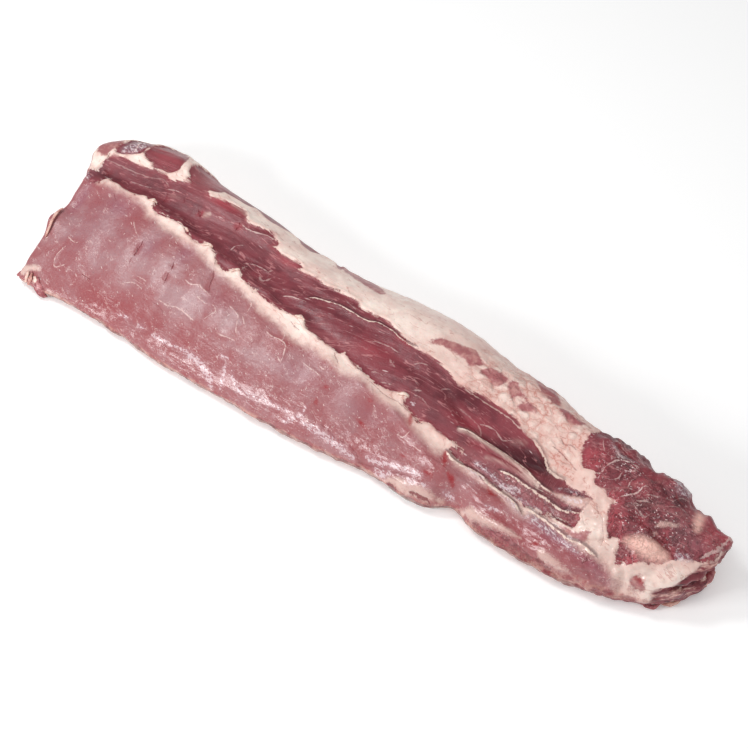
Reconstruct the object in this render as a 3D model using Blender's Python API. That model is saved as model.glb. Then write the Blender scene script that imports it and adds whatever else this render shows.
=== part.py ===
"""A whole raw boneless pork loin lying on its fat side, bone side up, as one solid.

The loin lies along X with its blade end at +X. Its thin rib edge is at -Y and its back is at +Y.
It is lofted from sections across the length, and the relief of the cut surface is then raised
and sunk on the loft: hollows left by the ribs, the scalloped cream seam, the dark band beside it,
the cleft and folds near the blade end, and the lumps and layers of the blade end itself.

Every size below is in millimetres, in the loin's own frame: x along the length, y across, z up.
"""

import math
from typing import NamedTuple

import bmesh
import bpy
import numpy as np

MM = 0.001

# ---------------------------------------------------------------- driving dimensions
LEFT_END = -291.0
RIGHT_END = 303.0
VERTEBRA_PITCH = 33.0
FIRST_SCALLOP = -252.0

NEAR_NOSE_Z = 9.0
FAR_NOSE_Z = 23.0
NEAR_UNDERCUT = (4.0, 15.0)
NEAR_UNDERCUT_Z = 2.0
FAR_UNDERCUT = (9.0, 25.0)
FAR_UNDERCUT_Z = 3.0
CURVE_STEPS = 8

# The outline seen from above: (x, y) along the rib edge and along the back.
NEAR_EDGE = (
    (-291, -74), (-245, -73), (-200, -75), (-150, -81), (-100, -83), (-40, -85), (10, -84),
    (45, -81), (75, -84), (96, -83), (112, -74), (132, -81), (185, -86), (225, -86), (255, -83),
    (280, -79), (303, -71),
)
FAR_EDGE = (
    (-291, 66), (-280, 77), (-262, 87), (-245, 90), (-225, 89), (-205, 83), (-180, 79), (-140, 74),
    (-100, 66), (-50, 61), (0, 64), (50, 61), (88, 51), (115, 45), (135, 42), (160, 32), (182, 26),
    (215, 23), (237, 14), (254, 16), (265, 6), (285, -3), (303, -9),
)

# The cream seam between the rib face and the dark band, and the groove between the band and the fat.
SEAM = (
    (-292, 24), (-268, 23), (-225, 22), (-180, 13), (-130, 2), (-100, -6), (-60, -16), (-25, -28),
    (10, -36), (45, -44), (75, -57), (105, -63), (135, -71), (160, -79), (200, -92),
)
GROOVE = (
    (-292, 42), (-250, 54), (-208, 47), (-150, 47), (-124, 44), (-86, 30), (-50, 25), (-14, 16),
    (20, 14), (55, 1), (94, -20), (141, -28), (173, -29), (206, -38),
)

# Heights of the plain loft: one row for each place along x, one column for each share of the width.
HEIGHT_SHARES = (0.07, 0.25, 0.45, 0.62, 0.80, 0.93)
HEIGHTS = (
    (-291, (12, 20, 29, 36, 41, 38)),
    (-250, (16, 28, 38, 43, 48, 43)),
    (-180, (19, 33, 43, 46, 50, 41)),
    (-90, (23, 37, 44, 48, 49, 38)),
    (0, (25, 39, 45, 50, 50, 38)),
    (90, (26, 38, 45, 51, 53, 41)),
    (170, (27, 37, 46, 52, 59, 46)),
    (215, (28, 40, 51, 58, 61, 47)),
    (250, (28, 41, 51, 57, 57, 47)),
    (280, (26, 38, 47, 52, 52, 46)),
    (303, (22, 32, 41, 47, 48, 45)),
)

# Mesh resolution: cells along the length; over the top, from the rib edge to the seam, to the groove
# and to the back; round under each side; and over the flat bottom.
CELLS_ALONG = 112
TOP_CELLS = (14, 9, 11)
UNDER_CELLS = (3,)
FLAT_CELLS = (2,)
CAP_RINGS = (0.3, 0.62, 0.88)
CAP_INSET = 23.0

# The least share of the width that is kept between the rib edge, the seam, the groove and the back.
SEAM_ROOM = (0.14, 0.45)
GROOVE_ROOM = (0.16, 0.18)

# How far each end's cut leans along x, at places across the loin.
LEFT_CUT = ((-75, -50, -30, 0, 25, 45, 58), (3, 2, 1, 2, -1, -8, -10))
RIGHT_CUT = ((-84, -78, -70, -60, -52, -38, -18, 0), (-58, -42, -31, -22, -16, -9, -2, -5))

LEAN = ("raw lean", (0.30, 0.085, 0.10, 1.0), 0.38)


class Lump(NamedTuple):
    """A rounded muscle that stands out, or with a negative rise a dent."""

    x: float
    y: float
    half_length: float
    half_width: float
    rise: float


class Furrow(NamedTuple):
    """A groove between muscles that follows a line and runs out at both of its ends."""

    line: tuple
    half_width: float
    depth: float
    run_out: float


class Pull(NamedTuple):
    """A scrap of meat drawn out of the surface: where, how wide, and the way it is drawn."""

    x: float
    y: float
    z: float
    reach: float
    way: tuple


LUMP_SHARE = 0.75
LUMPS = (
    Lump(-262, 60, 26, 17, 4.0),  # two rolls of lean at the back of the left end
    Lump(-225, 66, 20, 14, 4.5),
    Lump(-186, 57, 20, 12, 2.5),
    Lump(-60, 6, 46, 13, 2.5),  # the dark band swells where it is widest
    Lump(40, -18, 44, 15, 3.0),
    Lump(196, -2, 17, 15, 4.5),  # the blade end's muscles
    Lump(228, -12, 20, 15, 3.5),
    Lump(253, 4, 9, 8, 6.0),
    Lump(262, -54, 22, 12, 4.0),
    Lump(214, -62, 14, 12, 4.0),  # the fat that folds over the band's end
    Lump(268, -38, 7, 6, -6.0),  # the pit where the blade bone was drawn out
    Lump(-281, -4, 14, 20, -4.0),  # the left end falls away beside the rib face
)

FURROWS = (
    Furrow(((-80, 12), (-40, 8), (0, 2), (36, -6), (75, -22)), 3.5, 2.0, 25),
    Furrow(((40, 6), (94, -20), (141, -28), (173, -29), (206, -38)), 6.0, 8.5, 60),
    Furrow(((118, -58), (150, -58), (182, -62), (206, -70)), 4.0, 3.5, 20),
    Furrow(((128, -72), (160, -74), (196, -82)), 4.0, 3.0, 20),
    Furrow(((236, -34), (256, -37), (266, -43), (280, -56)), 4.0, 4.0, 12),
    Furrow(((188, -22), (214, -24), (240, -26)), 4.0, 2.2, 14),
)

PULLS = (
    Pull(-270, -76, 8, 8, (0, -4, 0)),  # the scraps at the left near corner
    Pull(-291, -20, 27, 9, (-6, 0, 3)),  # the small curl on the left end
    Pull(303, -27, 11, 8, (8, -1, 0)),  # the flap under the right end
)

# The relief is full over the top and fades out down the sides, between these heights.
RELIEF_STARTS = (14, 26)

# The rib face's hollows, which fade out at the rib edge, before the seam and towards the blade end.
RIB_HOLLOW = 1.1
RIB_EDGE_FADE = (6, 20)
RIB_SEAM_FADE = (-4, -14)
RIB_BLADE_FADE = (170, 110)

# The cream seam's ridge. Each scallop leans out over most of a vertebra and then drops back.
SEAM_RISE = 2.4
SEAM_HALF_WIDTH = 4.5
SEAM_BLADE_FADE = (185, 150)
SEAM_LEFT_FADE = (LEFT_END + 6, LEFT_END + 22)
SCALLOP_REACH = 4.0
SCALLOP_LEAN = 0.8
SCALLOP_MIDDLE = 0.4
SCALLOP_FADE = (120, 60)

# The dark band lies below the seam on one side of it and below the fat on the other.
BAND_STEP = 4.0
BAND_SEAM_FADE = (2, 9)
BAND_GROOVE_FADE = (-2, -14)
BAND_BLADE_FADE = (10, -120)

# The blade end's cut face: how far each layer stands out, and between which heights or places.
SLAB_OUT = 3.0
SLAB_FROM = (24, 31)
SPLIT_IN = 4.0
SPLIT_Z = 21
FLAP_OUT = 3.0
FLAP_Z = 11
LAYER_HALF_HEIGHT = 5.0
FLAP_NEAR_FADE = (-75, -45)
FLAP_FAR_FADE = (-16, -32)
SPLIT_NEAR_FADE = (-80, -60)
HOLLOW_IN = 9.0
HOLLOW_FADE = (-36, -18)
HOLLOW_UNDER = (31, 23)
FOOT_IN = 5.0
FOOT_HEIGHT = 6.0

# How much of the loin, from each end, takes part in that end's cut.
RIGHT_CUT_LENGTH = 120
RIGHT_FACE_LENGTH = 40
LEFT_CUT_LENGTH = 40

# The least height of a point that isn't on the flat bottom.
CLEAR_OF_BOTTOM = 0.3


# ---------------------------------------------------------------- curves and falloffs
def smooth_track(points):
    """A smooth function of x through (x, value) points, with the tangents of their neighbours."""
    xs = np.array([p[0] for p in points], float)
    values = np.array([p[1] for p in points], float)
    slopes = np.gradient(values, xs, axis=0)

    def at(x):
        x = np.clip(np.asarray(x, float), xs[0], xs[-1])
        i = np.clip(np.searchsorted(xs, x) - 1, 0, len(xs) - 2)
        span = xs[i + 1] - xs[i]
        t = (x - xs[i]) / span
        if values.ndim > 1:
            t, span = t[..., None], span[..., None]
        start, end = values[i], values[i + 1]
        rise_in, rise_out = slopes[i] * span, slopes[i + 1] * span
        return (
            (2 * t**3 - 3 * t**2 + 1) * start
            + (t**3 - 2 * t**2 + t) * rise_in
            + (3 * t**2 - 2 * t**3) * end
            + (t**3 - t**2) * rise_out
        )

    return at


def ease(low, high, value):
    """0 below low, 1 above high, and a smooth step between."""
    t = np.clip((np.asarray(value, float) - low) / (high - low), 0, 1)
    return t * t * (3 - 2 * t)


def bell(distance, half_width):
    """1 on the line, and about a tenth at 1.5 half widths."""
    return np.exp(-((distance / half_width) ** 2))


def along_line(x, y, line):
    """How far each point lies from a line of straight pieces, and from the line's nearer end along it."""
    points = np.array(line, float)
    steps = np.linalg.norm(np.diff(points, axis=0), axis=1)
    starts = np.concatenate([[0], np.cumsum(steps)])
    nearest = np.full(np.shape(x), np.inf)
    reached = np.zeros(np.shape(x))
    for (x0, y0), (x1, y1), step, start in zip(points[:-1], points[1:], steps, starts):
        along_x, along_y = (x1 - x0) / step, (y1 - y0) / step
        run = np.clip((x - x0) * along_x + (y - y0) * along_y, 0, step)
        gap = np.hypot(x - x0 - run * along_x, y - y0 - run * along_y)
        closer = gap < nearest
        nearest = np.where(closer, gap, nearest)
        reached = np.where(closer, start + run, reached)
    return nearest, np.minimum(reached, starts[-1] - reached)


near_edge = smooth_track(NEAR_EDGE)
far_edge = smooth_track(FAR_EDGE)
seam_line = smooth_track(SEAM)
groove_line = smooth_track(GROOVE)
loft_heights = smooth_track(HEIGHTS)


def scalloped_seam(x):
    """The seam's y at x, with a bite for each vertebra that was lifted out."""
    turn = (x - FIRST_SCALLOP) / VERTEBRA_PITCH
    share = turn - np.floor(turn)
    lean = np.minimum(share / SCALLOP_LEAN, 1) ** 1.5
    bite = lean * (1 - ease(SCALLOP_LEAN, 1, share))
    return seam_line(x) + SCALLOP_REACH * (bite - SCALLOP_MIDDLE) * ease(*SCALLOP_FADE, x)


# ---------------------------------------------------------------- the loft
def catmull_rom(points, steps):
    """A closed smooth curve through points, with the given number of steps from each to the next."""
    count = len(points)
    made = []
    for i in range(count):
        a, b, c, d = (points[(i + k) % count] for k in (-1, 0, 1, 2))
        linear, square, cube = c - a, 2 * a - 5 * b + 4 * c - d, 3 * b - a - 3 * c + d
        for j in range(steps):
            t = j / steps
            made.append(0.5 * (2 * b + linear * t + square * t**2 + cube * t**3))
    return np.array(made)


def spread(points, cells, marks=()):
    """An open run of (y, z) points spread evenly from its start to each mark in turn, and to its end."""
    steps = np.linalg.norm(np.diff(points, axis=0), axis=1)
    length = np.concatenate([[0], np.cumsum(steps)])
    stops = [0, *np.interp(marks, points[:, 0], length), length[-1]]
    pieces = [
        np.linspace(start, stop, count, endpoint=False)
        for start, stop, count in zip(stops[:-1], stops[1:], cells)
    ]
    at = np.concatenate(pieces)
    return np.stack([np.interp(at, length, points[:, k]) for k in range(2)], axis=1)


def column_marks(x, near, far):
    """Where a line of the mesh follows the seam and another the groove, as two values of y."""
    width = far - near
    seam = np.clip(scalloped_seam(x), near + SEAM_ROOM[0] * width, far - SEAM_ROOM[1] * width)
    groove = np.clip(groove_line(x), seam + GROOVE_ROOM[0] * width, far - GROOVE_ROOM[1] * width)
    return float(seam), float(groove)


def section(x):
    """The outline across the loin at x, as (y, z) points: over the top from the rib edge, then back under."""
    near, far = float(near_edge(x)), float(far_edge(x))
    width = far - near
    top = [(near + share * width, z) for share, z in zip(HEIGHT_SHARES, loft_heights(x))]
    rim = [(near, NEAR_NOSE_Z), *top, (far, FAR_NOSE_Z)]
    under = [
        (far - FAR_UNDERCUT[0], FAR_UNDERCUT_Z),
        (far - FAR_UNDERCUT[1], 0.0),
        (near + NEAR_UNDERCUT[1], 0.0),
        (near + NEAR_UNDERCUT[0], NEAR_UNDERCUT_Z),
    ]
    outline = catmull_rom(np.array(rim + under, float), CURVE_STEPS)
    outline[:, 1] = np.maximum(outline[:, 1], 0.0)
    far_nose = CURVE_STEPS * (len(rim) - 1)
    far_foot = CURVE_STEPS * (len(rim) + 1)
    near_foot = CURVE_STEPS * (len(rim) + 2)
    closed = np.vstack([outline, outline[:1]])
    return np.vstack(
        [
            spread(closed[: far_nose + 1], TOP_CELLS, column_marks(x, near, far)),
            spread(closed[far_nose : far_foot + 1], UNDER_CELLS),
            spread(closed[far_foot : near_foot + 1], FLAT_CELLS),
            spread(closed[near_foot:], UNDER_CELLS),
        ]
    )


# ---------------------------------------------------------------- the relief
def rib_hollows(x, y, beside_seam):
    """The shallow hollows across the rib face, one for each vertebra."""
    on_face = ease(*RIB_EDGE_FADE, y - near_edge(x)) * ease(*RIB_SEAM_FADE, beside_seam)
    turn = (x - FIRST_SCALLOP) / VERTEBRA_PITCH
    wave = (1 - np.cos(2 * math.pi * turn)) / 2
    return -RIB_HOLLOW * wave * on_face * ease(*RIB_BLADE_FADE, x)


def seam_and_band(x, y, beside_seam):
    """The seam's raised ridge and the lower ground of the dark band behind it."""
    ridge = SEAM_RISE * bell(beside_seam, SEAM_HALF_WIDTH)
    ridge = ridge * ease(*SEAM_BLADE_FADE, x) * ease(*SEAM_LEFT_FADE, x)
    in_band = ease(*BAND_SEAM_FADE, beside_seam) * ease(*BAND_GROOVE_FADE, y - groove_line(x))
    return ridge - BAND_STEP * in_band * ease(*BAND_BLADE_FADE, x)


def relief(x, y):
    """How far the cut surface stands above the plain loft at each point, seen from above."""
    beside_seam = y - scalloped_seam(x)
    height = rib_hollows(x, y, beside_seam) + seam_and_band(x, y, beside_seam)
    for lump in LUMPS:
        reach = np.hypot((x - lump.x) / lump.half_length, (y - lump.y) / lump.half_width)
        height += lump.rise * bell(reach, LUMP_SHARE)
    for furrow in FURROWS:
        gap, from_end = along_line(x, y, furrow.line)
        height -= furrow.depth * bell(gap, furrow.half_width) * ease(0, furrow.run_out, from_end)
    return height


def layered_end(y, z):
    """How far the blade end's cut face stands out: a lean slab over a split, and a flap under it."""
    slab = SLAB_OUT * ease(*SLAB_FROM, z)
    split = SPLIT_IN * bell(z - SPLIT_Z, LAYER_HALF_HEIGHT) * ease(*SPLIT_NEAR_FADE, y)
    flap = FLAP_OUT * bell(z - FLAP_Z, LAYER_HALF_HEIGHT)
    flap = flap * ease(*FLAP_NEAR_FADE, y) * ease(*FLAP_FAR_FADE, y)
    hollow = HOLLOW_IN * ease(*HOLLOW_FADE, y) * ease(*HOLLOW_UNDER, z)
    foot = FOOT_IN * (1 - ease(0, FOOT_HEIGHT, z))
    return slab - split + flap - hollow - foot


def end_offsets(x, y, z):
    """How far a point near an end moves along x, so that both ends are cut as the knife left them."""
    at_right = ease(RIGHT_END - RIGHT_CUT_LENGTH, RIGHT_END, x) * np.interp(y, *RIGHT_CUT)
    face = ease(RIGHT_END - RIGHT_FACE_LENGTH, RIGHT_END, x) * layered_end(y, z)
    at_left = ease(LEFT_END + LEFT_CUT_LENGTH, LEFT_END, x) * np.interp(y, *LEFT_CUT)
    return at_right + face + at_left


def shaped(points):
    """Loft points moved to the real surface."""
    x, y, z = points.T
    x = x + end_offsets(x, y, z)
    z = z + relief(x, y) * ease(*RELIEF_STARTS, z)
    moved = np.stack([x, y, z], axis=1)
    for pull in PULLS:
        gap = np.linalg.norm(points - (pull.x, pull.y, pull.z), axis=1)
        moved += bell(gap, pull.reach)[:, None] * np.array(pull.way, float)
    moved[:, 2] = np.where(points[:, 2] <= 0, 0.0, np.maximum(moved[:, 2], CLEAR_OF_BOTTOM))
    return moved


def cap_ring(outline, share):
    """The section's outline drawn in towards its middle line by a share of the way."""
    y, z = outline.T
    near, far = y.min(), y.max()
    middle_y = np.clip(y, near + CAP_INSET, far - CAP_INSET)
    top = outline[: sum(TOP_CELLS)]
    middle_z = np.interp(middle_y, top[:, 0], top[:, 1]) / 2
    return np.stack([y + share * (middle_y - y), z + share * (middle_z - z)], axis=1)


def loin_mesh():
    """Vertices and faces of the whole closed loin."""
    stations = np.linspace(LEFT_END, RIGHT_END, CELLS_ALONG + 1)
    sections = [section(x) for x in stations]
    around = len(sections[0])
    rings = [(stations[0], cap_ring(sections[0], share)) for share in reversed(CAP_RINGS)]
    rings += list(zip(stations, sections))
    rings += [(stations[-1], cap_ring(sections[-1], share)) for share in CAP_RINGS]
    points = np.vstack([np.column_stack([np.full(around, x), outline]) for x, outline in rings])
    faces = []
    for i in range(len(rings) - 1):
        for j in range(around):
            k = (j + 1) % around
            faces.append((i * around + j, (i + 1) * around + j, (i + 1) * around + k, i * around + k))
    last = (len(rings) - 1) * around
    faces.append(tuple(range(around)))
    faces.append(tuple(last + j for j in reversed(range(around))))
    return shaped(points), faces


# ---------------------------------------------------------------- the object
def clear_scene():
    """Removes whatever the file opened with."""
    for item in list(bpy.data.objects):
        bpy.data.objects.remove(item, do_unlink=True)


def lean_material():
    """The plain finish of raw pork."""
    name, colour, roughness = LEAN
    material = bpy.data.materials.new(name)
    material.use_nodes = True
    shader = material.node_tree.nodes["Principled BSDF"]
    shader.inputs["Base Color"].default_value = colour
    shader.inputs["Roughness"].default_value = roughness
    shader.inputs["Metallic"].default_value = 0.0
    return material


def build_loin():
    """The loin as one closed, smooth-shaded object, centred over its own box and resting on z = 0."""
    points, faces = loin_mesh()
    middle = (points.min(axis=0) + points.max(axis=0)) / 2
    points = points - (middle[0], middle[1], 0)
    mesh = bpy.data.meshes.new("pork_loin")
    mesh.from_pydata((points * MM).tolist(), [], faces)
    form = bmesh.new()
    form.from_mesh(mesh)
    caps = [face for face in form.faces if len(face.verts) > 4]
    bmesh.ops.triangulate(form, faces=caps)
    bmesh.ops.recalc_face_normals(form, faces=form.faces)
    form.to_mesh(mesh)
    form.free()
    mesh.shade_smooth()
    mesh.materials.append(lean_material())
    loin = bpy.data.objects.new("pork_loin", mesh)
    bpy.context.scene.collection.objects.link(loin)
    return loin


clear_scene()
build_loin()
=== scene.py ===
"""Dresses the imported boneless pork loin: fine relief, tissues, scraps, floor, light and camera.

Lengths are in millimetres in the loin's own frame: x runs along the loin to its blade end, y across it
to its back and z up. Lines and outlines are places seen from above, unless they say otherwise.
"""

import logging
import math
from dataclasses import dataclass, field
from enum import Enum

import bpy
import numpy as np
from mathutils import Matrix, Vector, noise


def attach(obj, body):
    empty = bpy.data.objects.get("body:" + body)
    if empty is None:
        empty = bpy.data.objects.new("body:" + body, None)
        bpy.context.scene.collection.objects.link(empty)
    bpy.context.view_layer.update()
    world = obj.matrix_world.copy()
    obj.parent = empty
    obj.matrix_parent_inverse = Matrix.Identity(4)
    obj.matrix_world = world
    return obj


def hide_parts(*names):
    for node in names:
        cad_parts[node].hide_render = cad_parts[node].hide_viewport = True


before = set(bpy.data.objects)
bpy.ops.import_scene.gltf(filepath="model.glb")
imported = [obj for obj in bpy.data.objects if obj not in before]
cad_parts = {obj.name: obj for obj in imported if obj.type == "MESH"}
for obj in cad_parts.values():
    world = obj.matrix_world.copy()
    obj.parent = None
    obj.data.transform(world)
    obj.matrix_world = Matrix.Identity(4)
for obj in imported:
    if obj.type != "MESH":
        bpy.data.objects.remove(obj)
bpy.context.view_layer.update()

MM = 0.001
NODE = "pork_loin"
BODY = "root"

# How far red, green and blue light spread in flesh, as shares of a material's own distance.
FLESH_RADIUS = (1.0, 0.35, 0.25)

Place = tuple[float, float]
Line = tuple[Place, ...]
Point = tuple[float, float, float]
Tint = tuple[float, float, float]

log = logging.getLogger("loin")


# ---------------------------------------------------------------- places on the loin
# The cream seam: its crisp upper edge against the dark band, and its soft foot against the rib face.
SEAM_TOP: Line = (
    (-277, 19), (-274, 25), (-272, 28), (-269, 24.5), (-260, 24), (-257, 22.5), (-249, 21.5), (-240, 21.5),
    (-233, 24), (-230, 22), (-226, 22), (-224.5, 24), (-221, 17), (-218.5, 15), (-215, 13), (-210, 14),
    (-200, 14), (-191, 14), (-187.5, 12.5), (-184, 8.6), (-180, 7.7), (-175.6, 5.8), (-170, 5.3),
    (-166, 6.7), (-160, 9), (-158, 6.3), (-153, 3.5), (-149, -1), (-144.6, -4.2), (-136, -5.5),
    (-132, -2.5), (-127, 0), (-123, -5), (-117, -7), (-107, -10.7), (-100, -11.5), (-91, -13.2),
    (-80, -15), (-68, -14.5), (-64, -13.2), (-60, -11.8), (-57, -15), (-54, -19), (-44, -20),
    (-33, -22.7), (-22.5, -24.4), (-19, -23.6), (-17, -21), (-14.7, -23), (-6.7, -26.9), (1.7, -29),
    (13.4, -32), (24, -33.8), (30, -33.4), (34.4, -31.8), (39, -30), (43.5, -29.4), (45, -31.5),
    (43, -34), (45, -36.8), (52, -39.8), (60.4, -43.7), (64.5, -42.8), (69, -41), (74, -42.4),
    (80, -44), (91.4, -44.7), (101, -46.6), (101.8, -48),
)
SEAM_FOOT: Line = (
    (-276, 19.4), (-268, 20.3), (-249.5, 19.2), (-235, 17.4), (-228, 15.5), (-221, 9.5), (-211.6, 10),
    (-206, 6.5), (-194, 4.9), (-182, 2.6), (-170, 1.7), (-161, -2), (-150, -6), (-134, -9.8),
    (-119, -13.7), (-100, -18.4), (-89.6, -22.7), (-74, -25.3), (-58.6, -30.9), (-40, -31.3),
    (-22.5, -33.4), (-10, -37), (2, -35.3), (10, -34.9), (22.6, -40.3), (35, -42.8), (49.5, -42.8),
    (60.4, -48.7), (74, -53.7), (87, -57.5), (91, -54),
)
# The band's folds at the blade end, from the seam's tip round to the fat.
BAND_FOLDS: Line = (
    (93, -50), (96, -52.5), (100, -54.5), (107, -55), (115, -55.5), (127, -57.5), (140, -58.5),
    (150, -59.5), (158, -61.5), (165, -61), (172, -60), (180, -61.5), (190, -61), (200, -63),
    (203, -61), (203.5, -57), (201.5, -53), (201, -50), (203, -45), (204.5, -40.5), (204, -38.5),
)
# The band's border with the fat along the back, from the blade end to the left end.
BAND_TOP: Line = (
    (190, -38), (184, -37.5), (181, -36), (178, -34), (171, -33), (166, -31), (160, -27), (157, -24.5),
    (150, -20), (140, -17), (134, -14.7), (129, -12.5), (126.6, -9.7), (122.4, -8), (117.4, -7.2),
    (110.6, -6.4), (104, -6), (98, -5), (91.4, -4), (85.5, -5), (81, -4.7), (71, -4), (68, -3),
    (63.7, -0.9), (60, 0.8), (55, 2.4), (50, 4), (45, 5), (38.6, 5.8), (29, 6.6), (22.6, 8), (18.4, 9),
    (12.6, 10.5), (8.4, 12.3), (1.7, 14.8), (-4, 16.7), (-8.4, 17.3), (-14.7, 15.7), (-19, 17),
    (-23, 16.4), (-28.5, 17.7), (-32.8, 20.3), (-39.7, 21.2), (-48, 21.8), (-57, 21.6), (-64.6, 21.2),
    (-73, 23.3), (-85.3, 23.4), (-89.6, 24.5), (-86.5, 26.7), (-88.7, 28), (-92, 29), (-100, 29.2),
    (-106.7, 29.2), (-110.6, 30.2), (-115, 32), (-121, 32.2), (-116.5, 33.8), (-116, 36.5),
    (-118, 38.8), (-121.5, 39.5), (-122.5, 41.5), (-125.7, 44), (-130, 44.4), (-134, 43),
    (-139.4, 42.7), (-149, 42.2), (-153.5, 47.5), (-157, 51), (-161.7, 52), (-168, 51.6),
    (-175.6, 50.2), (-182, 48.8), (-186.5, 46.5), (-190, 48.3), (-193, 50.5), (-209, 50), (-216, 48.8),
    (-220, 47), (-224.4, 45.4), (-228, 46.6), (-232, 48), (-242, 48), (-248.8, 46.8), (-255, 46),
    (-262.2, 46.2), (-271.1, 47.4), (-279, 46.4), (-283.4, 44.5), (-285.4, 40.5), (-286, 36), (-288, 30),
    (-293, 26), (-294, 20), (-286, 17.5), (-281, 17.5),
)
# The rib face's border past the seam: along the folds, then over the rib edge and back to the left end.
FACE_REST: Line = (
    (93, -52.5), (97, -55.5), (102, -56.5), (119, -57.6), (127, -58.8), (140, -60.2), (150, -63.5),
    (158, -67), (166, -68), (172, -63.5), (185, -63), (196, -66), (205, -70), (220, -71.5),
    (228, -72), (235, -73.5), (245, -76.5), (254, -79), (268, -84), (268, -100), (-310, -100),
    (-310, 19),
)
BLADE: Line = (
    (168, 44), (170, 28), (176, 22), (180, 16), (181, 10), (179, 4), (178, -6), (180, -14), (183, -19),
    (186, -22.5), (191, -22), (196, -22.5), (197.5, -26), (200, -30), (208, -31), (211, -33.5),
    (216, -35), (221, -36.5), (218, -39), (219, -44), (222, -50), (225, -55), (228, -58.5),
    (231, -57.5), (234, -56.5), (236.5, -60), (238, -66), (241, -69.5), (245, -67.5), (250, -65.5),
    (254, -62.5), (260, -61), (266, -59), (270, -55), (273, -51), (278, -47.5), (284, -45),
    (290, -42.5), (295, -39), (298, -33), (301, -26), (320, -20), (320, 44),
)
# Rolls of lean at the left end of the back, and strips of lean along both edges.
LEAN_ROLLS: tuple[Line, ...] = (
    ((-258.7, 56.7), (-258.6, 63), (-259, 73), (-250, 82), (-239, 83), (-228, 74), (-224.6, 66),
     (-224.6, 60), (-223.6, 57), (-226, 52.6), (-230.5, 49.4), (-237, 50), (-243, 49), (-246.4, 49.4),
     (-247, 52), (-252, 52)),
    ((-207.4, 49), (-210, 51.6), (-215, 53), (-212.6, 55.4), (-216.4, 58.4), (-218.5, 64), (-217, 74),
     (-207, 78), (-196, 80), (-186, 74), (-180, 66), (-183, 58), (-184.7, 54), (-192.2, 51.4),
     (-196, 48)),
    ((-183, 59), (-173, 60), (-161, 60.5), (-156, 64), (-150, 61), (-143, 57.5), (-131, 57),
     (-120, 60), (-112, 57.5), (-104, 51), (-95, 49.5), (-90, 54), (-83, 57), (-75, 55), (-70, 48),
     (-66, 46), (-68, 54), (-72, 60), (-60, 80), (-190, 100), (-190, 66)),
    ((-283, 50), (-284, 60), (-280, 70), (-273, 78), (-262, 80), (-260.6, 72), (-260, 62),
     (-260.6, 55.4), (-266, 52), (-272.2, 49.6), (-278, 48.6)),
    ((122, -82.5), (140, -82.5), (160, -83.5), (185, -86), (205, -87.5), (215, -95), (118, -95)),
)
# Islands of lean in the fat along the back.
LEAN_ISLANDS: tuple[Line, ...] = (
    ((33, 16.3), (35, 20), (39.4, 23.8), (45, 24.7), (52, 26), (60.4, 27), (65.8, 28), (69.6, 25.5),
     (73.8, 22.6), (80, 19.6), (77, 16.3), (73.8, 14.2), (70.4, 12.3), (67, 13.8), (63.7, 16),
     (57, 16.7), (48.6, 17.5), (42.7, 18), (38.6, 17)),
    ((80, 10.4), (79.6, 13.3), (82, 17), (85.5, 18.8), (91.4, 19.6), (97, 18.4), (101.4, 17),
     (101, 13.3), (100, 10), (97, 7), (93, 6), (90, 8.5), (85.5, 9.8)),
    ((104, 17), (109.8, 16.7), (112.3, 13.3), (119, 10), (122.4, 6.6), (115.7, 7), (113.6, 5),
     (113.2, 2), (109.8, 5), (106.5, 7.5), (104, 10.8)),
    ((117.4, 0), (120, 3.3), (124, 5), (127.4, 6.2), (130.8, 4), (134, 0.8), (130, 0.8), (127.4, -1.3),
     (122.4, -2.2)),
    ((108, 44), (116.5, 30), (119, 27.5), (123, 22.5), (128, 18.5), (134, 16), (140, 13), (146, 15),
     (143, 20), (137, 27), (128, 38), (122, 46)),
    ((147, 11), (150, 14.5), (155, 13), (160, 11), (167, 10.5), (170, 9), (167, 5), (160, 4),
     (153, 6.5)),
    ((192, -66), (196, -63), (203, -65), (209, -64), (213, -61.5), (216.5, -62), (215, -65),
     (213.5, -69), (206, -69.3), (198, -67)),
    ((254, -73), (256.5, -69.3), (261.4, -68), (265.4, -69.6), (263.2, -72), (258, -73.6)),
    ((-297, 44), (-300, 54), (-292, 64), (-286, 66), (-283, 56), (-286, 49), (-288, 42)),
    ((-72, 50), (-60, 47.5), (-47, 43.5), (-34, 40), (-26, 38.5), (-22, 41), (-26, 46), (-40, 56),
     (-60, 66), (-72, 66)),
)
# Patches of fat that lie over the lean or the rib face.
FAT_PATCHES: tuple[Line, ...] = (
    ((166, -45.4), (176, -45.8), (184, -44.6), (190, -43), (197, -41.5), (205, -40), (204, -46),
     (200, -49), (192, -49.6), (185, -48.8), (176, -47.4)),
    ((-292, -66), (-286, -63), (-280, -60.5), (-276, -61), (-275.5, -64.5), (-282, -66), (-285, -71),
     (-292, -72)),
    ((-277, -69.5), (-272, -70), (-271, -72.5), (-274, -74)),
    ((-260, -73.5), (-246, -73.2), (-234, -75), (-232, -80), (-262, -80)),
    ((57, -84), (63.5, -81.6), (75.5, -80.6), (88, -79.6), (99, -79.2), (108, -76.3), (98, -90),
     (57, -90)),
    ((108.6, -77.5), (115, -76.8), (122, -76.8), (128, -76), (138, -78.2), (150, -79.4),
     (161.3, -79.6), (172, -80.6), (164, -82), (153, -82.3), (136.4, -82), (122.8, -80)),
    ((186, -82), (192, -81.5), (205, -83.5), (214, -84.5), (205, -86), (190, -85.5)),
    ((252.5, -36.5), (255, -33), (259.5, -31.2), (263.5, -30.2), (267.5, -28.4), (265, -31.6),
     (259.5, -34.4), (256, -36)),
    ((251.5, -42), (253.5, -40.6), (256.4, -40.8), (254.5, -42.4)),
    ((176.3, -44.6), (181, -46.2), (186, -46.4), (191, -44.5), (198.6, -43.6), (204, -42.6),
     (200, -47), (192, -48.8), (184, -47.8)),
)
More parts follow.
